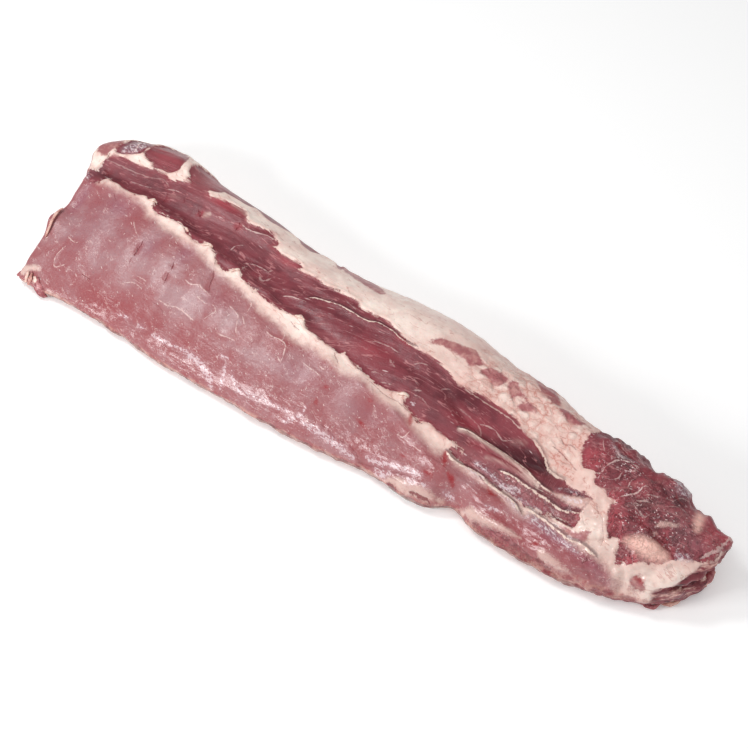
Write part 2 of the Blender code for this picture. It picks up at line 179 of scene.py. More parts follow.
# Pale patches that fade into the blade's lean: the end of the rib bone's bed, and one by the end.
PALE_BEDS: tuple[Line, ...] = (
    ((237.8, -55.1), (244.6, -49.7), (253.9, -47.6), (262.9, -46.2), (269.7, -48.4), (271.4, -53.7),
     (263.6, -58.8), (252.4, -59.3), (242.9, -57.2)),
    ((273, -16), (272.4, -11), (275.6, -11), (277.6, -14), (279.4, -20), (280.6, -25), (278.6, -26.5),
     (276, -24), (274, -20)),
)
# Silvery membranes over lean: pale tissue, whose shine is partly painted into the colour as whiter streaks.
MEMBRANES: tuple[Line, ...] = (
    ((112, -48.5), (120, -49), (132, -51.5), (146, -56), (160, -58), (178, -58.5), (176, -60.2),
     (160, -60.5), (146, -58.5), (130, -55), (114, -51.5)),
    ((176, -42.5), (186, -41), (196, -40), (201, -39.5), (198, -38.8), (186, -39.2), (178, -40.5)),
    ((137, -56.5), (141, -54.5), (147, -53.2), (152, -53.8), (156, -55.6), (150, -57.2), (143, -57.6)),
    ((-281, 52), (-277, 61), (-270, 69), (-263, 72), (-261.6, 64), (-264, 56), (-272, 51)),
    ((-294, 25), (-288, 24), (-287, 18), (-291, 17)),
    ((172, -67.2), (181, -66), (190, -68), (198, -70.5), (212, -73), (213, -76.5), (200, -75.5),
     (186, -72.5), (175, -71)),
    ((192.5, 1), (200, -1.6), (206.6, -3.4), (214, -3.6), (220, -5), (213, -7), (205, -7), (198, -3.4)),
    ((272.6, -46.6), (276.6, -43.8), (284, -42.2), (286, -45), (281, -48.6), (275.6, -49.6)),
    ((248, -1.5), (252.5, 2.5), (258, 1.5), (260.6, -5), (257, -9.5), (251, -7)),
    ((141, -60.5), (150, -60), (156, -62), (160, -65), (168, -69.5), (159, -68.5), (150, -65)),
    ((165, -65), (170, -64.2), (177, -65), (178.5, -69), (174, -71), (168, -69)),
)


@dataclass(frozen=True)
class Strand:
    """A thread, fold, slit or trickle that follows a line."""

    line: Line
    half_width: float
    rise: float = 0.0
    strength: float = 1.0


# Pale threads of connective tissue on the rib face and the band. Threads that come within a few
# millimetres of another one are in the second list.
THREADS: tuple[Strand, ...] = (
    Strand(((-268, -38), (-268.8, -41), (-270, -46), (-269.4, -50), (-267.6, -54.3), (-265, -56),
            (-262, -54.3), (-259, -51.5)), 0.45, 0.3),
    Strand(((-271, -30), (-266, -32), (-262, -33), (-259.7, -32)), 0.45, 0.3),
    Strand(((-198, -37.6), (-193, -38), (-188.5, -38.6)), 0.35, 0.2),
    Strand(((-207, -47.3), (-202.4, -44.6), (-198, -43), (-189.5, -44.4)), 0.4, 0.25),
    Strand(((-170, -47), (-161, -48.4), (-151.5, -47.2), (-143, -48.2), (-135, -50.6)), 0.5, 0.3),
    Strand(((-160, -25.7), (-153, -27), (-147, -24.4), (-144.6, -26), (-139.4, -27), (-134.3, -28.5)),
           0.5, 0.3),
    Strand(((-144.6, -32.6), (-139.4, -34), (-133.4, -35.6)), 0.45, 0.3),
    Strand(((-129, -34), (-124.8, -35.6), (-122.7, -38.6), (-125.7, -42), (-128, -46.3)), 0.4, 0.25),
    Strand(((-112.8, -51.5), (-104, -51), (-96.4, -51)), 0.45, 0.3),
    Strand(((-116, -29), (-109, -31.3), (-105, -33.4), (-103.3, -37.7), (-100.7, -43), (-97.3, -47)),
           0.5, 0.3),
    Strand(((-104, -18.4), (-101.6, -21.4), (-101.4, -26.6)), 0.7, 0.4),
    Strand(((-79, -34), (-73, -36), (-65.5, -35.6), (-60.3, -37), (-57.7, -40.3), (-55.6, -46.3),
            (-54.7, -50.6)), 0.6, 0.4),
    Strand(((-39.7, -43), (-31, -45), (-24, -46.3), (-20, -49)), 0.35, 0.2),
    Strand(((-27.7, -40.3), (-24, -41), (-20.8, -41.2)), 0.6, 0.4),
    Strand(((52.8, -58), (57.8, -58.3), (60.4, -53.7)), 0.5, 0.3),
    Strand(((14, -33.5), (16, -37), (20, -41.5)), 0.8, 0.4, 0.6),
    Strand(((-237.5, -21), (-234.5, -21.5)), 1.5, 0.4),
    Strand(((-246, -54), (-243.5, -56)), 0.8, 0.4),
    Strand(((-286, 40), (-268, 40.5), (-253, 41.2), (-240, 42), (-232, 43.7), (-225, 41.4)), 0.35, 0.2,
           0.5),
    Strand(((-256, 33.5), (-248, 34), (-242, 34.5), (-237.5, 35.6)), 0.4, 0.3, 0.5),
    Strand(((-224, 38.6), (-217, 39.5)), 0.5, 0.3, 0.6),
    Strand(((-147, 15.6), (-146, 20), (-143, 22.4), (-141, 24.2)), 0.5, 0.3, 0.7),
    Strand(((-130, 9.5), (-124, 12.6), (-117, 13.4), (-109, 12)), 0.5, 0.4, 0.7),
    Strand(((-113.6, 7), (-110, 3.5), (-106.7, 4), (-103.7, 8.7)), 0.9, 0.4, 0.55),
    Strand(((-152, 38), (-143, 36.6), (-130, 38.8), (-121, 39.2)), 0.6, 0.4),
    Strand(((-86, -1.6), (-80, 0.3), (-74, 0.8), (-67, 1.3)), 0.5, 0.4),
    Strand(((-6.7, -5), (0, -2.2), (10, -1.3), (17.6, -2.2)), 0.5, 0.3, 0.6),
    Strand(((33.5, -5), (38.6, -1.8), (42.7, -1.3)), 0.45, 0.2, 0.6),
    Strand(((20, -29.8), (25, -28.7), (30, -28.2)), 0.5, 0.3, 0.6),
    Strand(((9.5, -26), (14, -24.7), (18.5, -25)), 0.9, 0.3, 0.5),
    Strand(((15, -10), (20, -13.5), (23, -14.5)), 0.9, 0.3, 0.45),
    Strand(((45, -25), (48, -23), (51, -22)), 0.6, 0.3, 0.6),
    Strand(((62, -13), (64, -10.5), (67, -9)), 0.4, 0.2, 0.6),
    Strand(((-47, -9), (-41, -7)), 0.3, 0.2, 0.5),
    Strand(((-40, 16.5), (-35, 14.8), (-30, 14)), 0.35, 0.2, 0.6),
    Strand(((81, -17.3), (85.5, -18.5), (93, -20.6), (100.6, -22.7), (104, -25.6), (106, -28.2)), 0.4,
           0.3, 0.4),
    Strand(((110, -9.1), (119, -10.6), (127.4, -13.1), (134, -15.2)), 0.3, 0.2, 0.6),
    Strand(((196, -23), (199.2, -21.1), (201.2, -16.6), (204.3, -12.4), (208, -9.1), (215.8, -7.6),
            (223.1, -8.2)), 0.7, 0.4, 0.9),
    Strand(((189.2, -0.3), (191, -4), (194.2, -7.8)), 0.4, 0.3, 0.7),
    Strand(((206.2, -23.4), (209.9, -22.9), (212.9, -20.1), (213.2, -15.8)), 0.4, 0.2, 0.7),
    Strand(((216.9, -13.5), (222.5, -10.9)), 0.5, 0.3, 0.8),
    Strand(((223.4, -16.6), (222.2, -20), (222.5, -24)), 0.4, 0.3, 0.7),
    Strand(((221.1, -31.2), (228.4, -26.2), (231.6, -22.4), (232.3, -19.3), (235, -17.8)), 0.6, 0.4),
    Strand(((233, -29), (238, -27), (241, -26)), 0.5, 0.3, 0.8),
    Strand(((231.2, -32.4), (237.2, -34.3), (242.7, -35.2), (245, -32.4)), 0.45, 0.3, 0.8),
    Strand(((236, -24), (240.1, -21.4), (245.2, -19.6)), 0.5, 0.3, 0.7),
    Strand(((252, -23), (257.1, -19.6), (262, -18), (266, -18.5)), 0.35, 0.3, 0.5),
    Strand(((250, -17), (254.5, -15.6), (256.5, -11.5), (262, -9)), 0.35, 0.3, 0.45),
    Strand(((195.4, 6.4), (204.3, 1.2), (210, -1.2)), 0.45, 0.4, 0.6),
    Strand(((204.5, 6), (211.4, 4.4), (219.5, 1.4)), 0.45, 0.4, 0.5),
    Strand(((299.6, -13), (299.6, -19), (297.4, -28), (294.2, -35.4), (289.6, -41)), 1.3, 0.0, 0.9),
    Strand(((-275.2, 69), (-271.1, 67.5), (-268.1, 59.9), (-266.7, 54.1)), 0.7, 0.5, 0.9),
)
MORE_THREADS: tuple[Strand, ...] = (
    Strand(((-102.4, -31.7), (-98, -36), (-94.7, -39)), 0.4, 0.2),
    Strand(((-68, -27.4), (-64.6, -31), (-63.3, -35.6)), 0.6, 0.3),
    Strand(((-126.5, 9.5), (-126.5, 5), (-125.7, 1)), 0.7, 0.4, 0.7),
    Strand(((-60, -48), (-57, -50), (-54.5, -51)), 0.6, 0.3),
    Strand(((60, -59), (70, -61), (76, -62)), 0.3, 0.1, 0.7),
    Strand(((-228, 0), (-222, -6), (-216, -10)), 0.35, 0.2, 0.8),
    Strand(((100.6, -21), (105.6, -20.2), (111.5, -20.6), (117.4, -22.7), (121.5, -24.4),
            (127.4, -22.7)), 0.35, 0.2, 0.7),
    Strand(((-181.5, -14), (-179.5, -13), (-178.5, -14.5)), 0.8, 0.4, 0.8),
    Strand(((-110, 12), (-107, 15.5)), 0.5, 0.2, 0.5),
    Strand(((19, -10), (20, -13), (18, -15)), 0.7, 0.3, 0.4),
    Strand(((48, -27), (54, -27), (60, -29.5)), 0.35, 0.2, 0.6),
    Strand(((197, -1), (203, -4.5), (210, -6), (214, -6)), 0.8, 0.4, 0.5),
    Strand(((203.3, -10.6), (206, -6.6), (210, -7.6)), 0.4, 0.3, 0.7),
    Strand(((250, -27), (257, -25.5), (263, -24)), 0.35, 0.3, 0.4),
    Strand(((40, -15), (43, -18), (46, -19)), 0.3, 0.2, 0.4),
)
# Wide pale folds and seam lines, which stand up from the lean.
FOLDS: tuple[Strand, ...] = (
    Strand(((-67, 6.5), (-63, 8.3), (-57, 9.5), (-48, 10.6), (-39.7, 11), (-31, 10.2), (-22.5, 9.1),
            (-15.6, 9.7), (-8.4, 11.7), (-2.5, 11.7), (6, 10.7), (12.6, 8.7), (20, 7.1), (27, 6.8)),
           0.5, 0.5),
    Strand(((77, -4.7), (84, -6.4), (95.6, -8), (102, -8.6), (110.6, -9.1), (119, -10.6),
            (127.4, -13.1), (134, -15.2), (140, -17)), 0.5, 0.3, 0.4),
    Strand(((90, -33.4), (98, -32.4), (106.5, -31.9), (116, -31.9), (124, -32.6), (133, -33.8),
            (142, -36), (150, -38.8), (158, -42.4), (166, -45), (174, -46.4)), 0.75, 0.7),
    Strand(((143, -17.6), (150, -20.6), (157, -25), (163, -30), (170, -32.8), (177, -34)), 1.0, 0.8, 0.8),
    Strand(((133, -47.7), (141, -47.4), (148.1, -48.1), (158.3, -50), (164.3, -50.6), (173.4, -52.2),
            (183.9, -54.4), (191.8, -54.2), (200.6, -51.8)), 0.95, 0.8),
    Strand(((92, -53.5), (97, -56), (103, -56.5), (112.6, -55), (120.9, -55.8), (128, -57.6),
            (137.5, -59.4), (145.6, -60.6), (153.5, -62.8), (160.9, -66.6)), 0.95, 0.7),
    Strand(((184.9, -61.3), (194.4, -62.7), (200, -63.6)), 0.6, 0.5, 0.8),
    Strand(((165, -62), (175, -63.5), (185, -65), (196, -68.2), (204, -70.6), (214.2, -70.6),
            (225.3, -72)), 0.85, 0.6),
)
# Broad translucent films, which fade at both edges.
FILMS: tuple[Strand, ...] = (
    Strand(((88, -34.2), (98, -33.2), (106.5, -33), (116, -33.4), (124, -34.2), (133, -35.6),
            (142, -38), (150, -41), (158, -44.5), (166, -47)), 3.4, 0.9, 0.95),
    Strand(((116, -43), (128, -42), (138, -42), (148, -43.5), (156, -46)), 2.6, 0.4, 0.5),
    Strand(((-186, 31.5), (-182, 33.2), (-178, 35)), 1.6, 0.5, 0.8),
    Strand(((-172, 50.5), (-160, 50), (-152, 46.5), (-148, 42.5)), 1.6, 0.3, 0.5),
    Strand(((-222, 33), (-216, 36), (-208, 36.5)), 2.4, 0.2, 0.25),
    Strand(((-30, -37), (-26, -33), (-21, -31)), 2.5, 0.3, 0.4),
    Strand(((92, -29), (98, -30.5), (104, -29), (106, -27)), 2.0, 0.3, 0.45),
    Strand(((126, -23.5), (134, -21.5), (141, -20.5)), 1.8, 0.3, 0.4),
    Strand(((205, -33), (222, -24), (236, -12), (246, 4)), 2.2, 0.4, 0.25),
    Strand(((226, -37), (236, -30), (252, -24), (268, -22)), 2.0, 0.3, 0.25),
)
# Dark slits and cracks that sink into the surface.
SLITS: tuple[Strand, ...] = (
    Strand(((-210.7, -12), (-210.5, -18), (-209.5, -25)), 0.6, -0.8),
    Strand(((-210.5, -27), (-210, -31)), 0.5, -0.3, 0.5),
    Strand(((-177.4, -17), (-176, -20), (-175.6, -22.4)), 0.65, -0.7),
    Strand(((-176, -26), (-175.5, -30), (-174.5, -33.5)), 0.6, -0.7),
    Strand(((-144.6, -9.4), (-142.4, -12.8), (-141, -18), (-140, -22.3), (-137.3, -26.6)), 0.5, -0.5,
           0.7),
    Strand(((-241, -52.5), (-236, -53), (-232, -53.6)), 0.55, -0.5, 0.8),
    Strand(((-259, 15.5), (-256, 12.5), (-253, 10)), 0.45, -0.4, 0.7),
    Strand(((-172.8, -50), (-167, -51.5), (-161, -54)), 0.3, -0.2, 0.5),
    Strand(((-206.5, 36.5), (-204.8, 35)), 0.7, -0.5),
    Strand(((-190, 33.7), (-187.5, 32.3), (-186, 30)), 0.7, -0.8),
    Strand(((-154.2, 39.5), (-154, 36), (-154, 32)), 0.9, -0.9),
    Strand(((-222, 36), (-221, 32), (-220.5, 28)), 0.4, -0.3, 0.6),
    Strand(((8, 12), (14, 9.8), (20, 8.6), (26, 8.2)), 0.6, -0.6),
    Strand(((-67, -19.5), (-62, -21.5), (-57, -23)), 0.4, -0.4, 0.6),
    Strand(((-23, -26), (-20, -29), (-15, -33)), 0.5, -0.5, 0.6),
    Strand(((-148.5, -1.5), (-146.5, -4.8)), 0.6, -0.5, 0.7),
    Strand(((10, -33.3), (16, -34.4), (22, -36), (30, -38), (40, -37.7), (52, -40)), 0.4, -0.4, 0.5),
    Strand(((58.7, -42), (62, -43.4), (65.4, -44)), 0.7, -0.7),
    Strand(((100, -40.5), (110, -38.2), (125, -38.6), (140, -40), (150, -43)), 0.7, -0.6, 0.6),
    Strand(((80, -84), (87.9, -84), (97.4, -82.6)), 0.7, -0.8),
    Strand(((60.5, -84.2), (65, -84.4), (71, -85.6)), 0.6, -0.6),
    Strand(((158, -16), (165, -18), (172, -21), (178, -23.5), (183, -26)), 0.45, -0.8, 0.6),
    Strand(((160, -9), (165, -12), (170, -11), (175, -13)), 0.4, -0.6, 0.6),
    Strand(((151, -2), (157, -5), (163, -4), (168, -1)), 0.35, -0.5, 0.4),
    Strand(((209, -42), (212, -46), (218, -50), (222, -56), (225, -60), (226, -66)), 0.4, -0.5, 0.35),
    Strand(((201, -50), (205, -55), (209, -59)), 0.35, -0.4, 0.35),
    Strand(((238, -39), (244.5, -39.8), (249.7, -40.4), (254.8, -42.6), (261.3, -42.4),
            (265.2, -43.2), (269.7, -46), (275.1, -49.6)), 1.0, -1.6),
    Strand(((260.4, -37), (262.6, -39.6), (264.6, -42)), 0.9, -1.0),
    Strand(((186.6, -85.8), (190.8, -86), (194.8, -85.9)), 0.6, -0.6),
    Strand(((220.3, -74.7), (221.8, -76.4), (219.1, -79)), 0.45, -0.6),
    Strand(((-3, -75.2), (4.6, -76), (12.3, -78), (20.8, -77.6), (27.4, -78.4), (34.4, -81)), 0.35,
           -0.5, 0.6),
    Strand(((34.4, -81.6), (45, -80.8), (56.7, -80.4), (69.3, -79.4), (86.5, -77.6)), 0.5, -0.7, 0.5),
    Strand(((226, -36), (235, -38), (242, -38.3)), 0.6, -0.8, 0.7),
    Strand(((186, 8), (197, 3), (207, -1), (218, -3.5), (226, -4)), 0.8, -0.8, 0.7),
    Strand(((252, -9), (256, -13), (262, -14), (266, -17)), 1.0, -1.0, 0.8),
    Strand(((-286, 47), (-285, 41)), 1.1, -1.2),
    Strand(((-283, 33), (-278, 32), (-275, 30)), 1.6, -1.5, 0.9),
    Strand(((-280, -66), (-277, -70), (-270, -73), (-262, -74.5)), 0.7, -0.8, 0.8),
    Strand(((-284, -68), (-281, -72), (-277, -76)), 0.7, -0.8, 0.7),
)
# Painted highlights: streaks where the film of juice shines white, painted white into the colour.
SHEENS: tuple[Strand, ...] = (
    Strand(((-160, -70.6), (-150, -71.4), (-140, -71.6)), 0.6),
    Strand(((-99.8, -64), (-93.6, -64.9)), 0.7),
    Strand(((-93, -69.9), (-90.7, -74.7), (-89, -81.5)), 0.9),
    Strand(((-86.5, -70.3), (-81, -75.2), (-76, -78.6), (-70, -80)), 0.7, 0.0, 0.5),
    Strand(((-70, -77.6), (-60, -78.6), (-50, -77.6), (-39.4, -77.9), (-29, -77)), 1.0, 0.0, 0.4),
    Strand(((-31.7, -82.8), (-25, -79.6), (-20.6, -75), (-19.5, -70.4)), 0.8, 0.0, 0.8),
    Strand(((39.2, -78), (46.1, -78), (56, -77.2), (66.4, -76), (74.8, -75.7), (84, -74.4)), 1.0),
    Strand(((48, -81.6), (55.1, -82.3), (61, -81)), 1.0, 0.0, 0.9),
    Strand(((74.5, -80.4), (81.9, -80)), 0.6),
    Strand(((87.4, -79.2), (91.1, -78.6)), 0.6),
    Strand(((103.3, -75), (111, -73.7)), 0.5),
    Strand(((110, -55.6), (118, -56), (126, -57.6)), 0.6, 0.0, 0.8),
    Strand(((-196, -67), (-186, -67.5)), 0.6, 0.0, 0.6),
    Strand(((-176, -69), (-168, -69.5)), 0.6, 0.0, 0.6),
    Strand(((48, -32.4), (52, -34)), 0.6),
    Strand(((138, -73.6), (146.6, -72.4)), 0.9, 0.0, 0.7),
    Strand(((184, -46.4), (192, -45.6), (199, -44.6)), 0.9, 0.0, 0.9),
)
# Broad painted highlights on the wet surface, which narrow to a point.
PAINTED_HIGHLIGHT_PATCHES: tuple[Line, ...] = (
    ((-140, -71.2), (-128, -71.4), (-115, -73), (-104, -76.2), (-98, -80), (-95.5, -84), (-100, -81.6),
     (-106, -78.6), (-115, -75.4), (-127, -72.8)),
    ((-20, -79.6), (-8.2, -78.2), (4, -78.8), (16, -79.6), (30, -81.2), (20, -81.8), (8, -81.2),
     (-6, -80.6)),
    ((137, -56.4), (141, -54.6), (148, -53.6), (155, -53.6), (150, -56), (143, -57)),
)
# Spots and trickles of blood.
BLOOD: tuple[Strand, ...] = (
    Strand(((-14.5, -52), (-12.4, -51.4)), 1.0),
    Strand(((-15.5, -62), (-13.5, -65.3)), 0.7),
    Strand(((-19, -38.2), (-17.5, -38.8)), 0.7, 0.0, 0.6),
    Strand(((20.5, -46.3), (23, -46.4)), 0.8, 0.0, 0.7),
    Strand(((54.5, -41), (55.5, -45), (57.8, -48.7)), 1.2),
    Strand(((91.4, -53), (93.5, -58), (96, -63)), 1.4),
    Strand(((101.4, -65.4), (104.5, -67), (108, -69.6)), 1.3),
    Strand(((131, -61), (135.8, -63.8), (140, -63.5)), 1.6, 0.0, 0.6),
    Strand(((20, -61), (30, -63.5)), 1.3, 0.0, 0.3),
    Strand(((62, -68.6), (67, -69)), 1.0, 0.0, 0.3),
    Strand(((84, -72), (90, -71), (92, -74)), 1.2, 0.0, 0.35),
    Strand(((181, -80.5), (184, -79.5)), 2.2, 0.0, 0.45),
    Strand(((256, -70), (262, -69)), 2.0, 0.0, 0.35),
)


@dataclass(frozen=True)
class Blush:
    """A soft oval of one tint: its middle, half length, half width and strength."""

    x: float
    y: float
    half_length: float
    half_width: float
    strength: float


REDDER: tuple[Blush, ...] = (
    Blush(-203, -64, 34, 9, 0.9), Blush(-235, -60, 20, 8, 0.4), Blush(-120, -65, 70, 7, 0.55),
    Blush(-140, -58, 20, 6, 0.4), Blush(-15, -54, 12, 8, 0.5), Blush(96, -60, 16, 8, 0.35),
    Blush(142, -65, 22, 5, 0.8), Blush(180, -77, 34, 8, 1.0), Blush(152, -77, 22, 5, 0.9),
    Blush(88, -72, 10, 4, 0.5), Blush(128, -68, 24, 5, 0.6), Blush(240, -20, 46, 30, 0.35),
    Blush(216, -35, 10, 9, 0.9), Blush(60, -52, 6, 8, 0.5), Blush(-178, -46, 6, 9, 0.5),
    Blush(-262, 10, 14, 7, 0.5),
    Blush(-225, 5, 14, 6, 0.4), Blush(-115, -22, 20, 7, 0.35), Blush(-50, -36, 26, 5, 0.5),
    Blush(20, -48, 30, 5, 0.4), Blush(60, -76, 60, 4, 0.3), Blush(226, -48, 9, 11, 1.0),
    Blush(250, -64, 14, 5, 0.9), Blush(190, -14, 12, 10, 0.8), Blush(290, -22, 14, 12, 0.9),
    Blush(-172, 47, 18, 4, 0.9), Blush(-100, 26, 12, 3, 0.7), Blush(110, -7, 12, 2, 0.8),
    Blush(92, -26, 14, 6, 0.5), Blush(0, -12, 16, 8, 0.5), Blush(262, -36, 6, 3, 0.6),
    Blush(-240, 66, 16, 12, 0.5), Blush(68, 17, 8, 5, 0.7),
    Blush(238, -68, 22, 9, 0.8), Blush(210, -46, 12, 14, 0.8), Blush(80, -64, 110, 16, 0.3),
)
PURPLER: tuple[Blush, ...] = (
    Blush(-247, 6, 12, 9, 0.8), Blush(-204, -14, 8, 10, 0.7), Blush(-174, -8, 6, 8, 0.8),
    Blush(-130, -30, 14, 8, 0.4), Blush(-40, -52, 24, 7, 0.4), Blush(20, -55, 24, 6, 0.3),
    Blush(195, -72, 22, 5, 0.9), Blush(225, -76, 18, 4, 0.8), Blush(-276, 62, 10, 14, 0.8),
    Blush(-283, 2, 5, 16, 0.9), Blush(-288, 34, 5, 14, 0.7),
    Blush(-256, -14, 30, 34, 0.3), Blush(270, -34, 8, 6, 0.6), Blush(284, -36, 8, 6, 0.5),
    Blush(256, -10, 8, 8, 0.6),
)
# Where the loin is paler. On the rib face the paler tone is partly the membrane's milky colour and partly a
# painted sheen.
PALER: tuple[Blush, ...] = (
    Blush(-235, -28, 36, 18, 0.5), Blush(-250, -42, 20, 10, 0.2), Blush(-150, -40, 34, 11, 0.8),
    Blush(-110, -38, 24, 9, 0.5), Blush(-60, -58, 40, 9, 0.35), Blush(10, -62, 40, 9, 0.3),
    Blush(60, -66, 30, 7, 0.2), Blush(-196, -24, 36, 16, 0.6), Blush(150, -72, 24, 5, 0.15),
    Blush(-165, -8, 10, 7, 0.4), Blush(120, -66, 14, 5, 0.4), Blush(150, -53, 42, 6, 0.75),
    Blush(112, -46, 22, 5, 0.5), Blush(-40, -18, 40, 4, 0.35), Blush(-150, 36, 30, 8, 0.2),
    Blush(-240, 68, 16, 14, 0.35), Blush(-198, 64, 18, 15, 1.0), Blush(-110, 60, 70, 12, 0.3),
    Blush(274, -18, 9, 12, 0.85), Blush(272, -34, 12, 7, 0.35), Blush(290, -26, 9, 7, 0.3),
    Blush(-258, -14, 24, 24, 0.5),
)
# Where the lean is darker and the loin rougher. The first oval darkens the hollow pocket at x 150 mm:
# painted shade there.
DEEPER: tuple[Blush, ...] = (
    Blush(150, -29, 44, 7, 1.0), Blush(190, -41, 16, 3, 0.8), Blush(-278, 30, 12, 6, 0.8),
    Blush(-268, 31, 22, 4, 0.5), Blush(-200, 24, 40, 8, 0.3), Blush(80, -10, 26, 7, 0.6),
    Blush(60, -22, 20, 10, 0.3), Blush(-140, 26, 34, 7, 0.4), Blush(206, -14, 14, 12, 0.5),
    Blush(236, -30, 16, 6, 0.5), Blush(258, -13, 7, 6, 0.9), Blush(-75, 8, 14, 5, 0.4),
    Blush(200, 12, 30, 8, 0.6), Blush(-238, 37, 44, 9, 0.35),
)


# ---------------------------------------------------------------- measuring
def ease(low: float, high: float, value: np.ndarray) -> np.ndarray:
    """A smooth step from 0 at low to 1 at high."""
    share = np.clip((value - low) / (high - low), 0.0, 1.0)
    return share * share * (3.0 - 2.0 * share)


def bell(distance: np.ndarray, half_width: float | np.ndarray) -> np.ndarray:
    """1 on the line, and about a tenth at 1.5 half widths."""
    return np.exp(-((distance / half_width) ** 2))


def smooth_line(points: Line | np.ndarray, closed: bool = False, steps: int = 3) -> np.ndarray:
    """A smooth curve through points.

    Args:
        points: The places that the curve passes.
        closed: Whether it returns to its start.
        steps: How many pieces there are from one place to the next.

    Returns:
        The curve's own points, one row each.
    """
    given = np.array(points, float)
    if closed:
        padded = np.vstack([given[-1:], given, given[:2]])
    else:
        padded = np.vstack([2 * given[:1] - given[1:2], given, 2 * given[-1:] - given[-2:-1]])
    made = []
    for a, b, c, d in zip(padded[:-3], padded[1:-2], padded[2:-1], padded[3:]):
        for t in np.arange(steps) / steps:
            square, cube = 2 * a - 5 * b + 4 * c - d, 3 * b - a - 3 * c + d
            made.append(0.5 * (2 * b + (c - a) * t + square * t**2 + cube * t**3))
    if not closed:
        made.append(given[-1])
    return np.array(made)


@dataclass(frozen=True)
class Lumps:
    """Smooth lumps: their size along each axis, a seed and how far they rise and sink."""

    size: Point
    seed: float
    rise: float = 1.0

    def at(self, places: np.ndarray) -> np.ndarray:
        """The lumps' height at each of the places, one row each."""
        scaled = places / np.array(self.size, float) + self.seed
        return self.rise * np.array([noise.noise(Vector(place)) for place in scaled.tolist()])


def lumpy(places: np.ndarray, *layers: Lumps) -> np.ndarray:
    """The height of several layers of lumps together, at places in rows."""
    return sum(layer.at(places) for layer in layers)


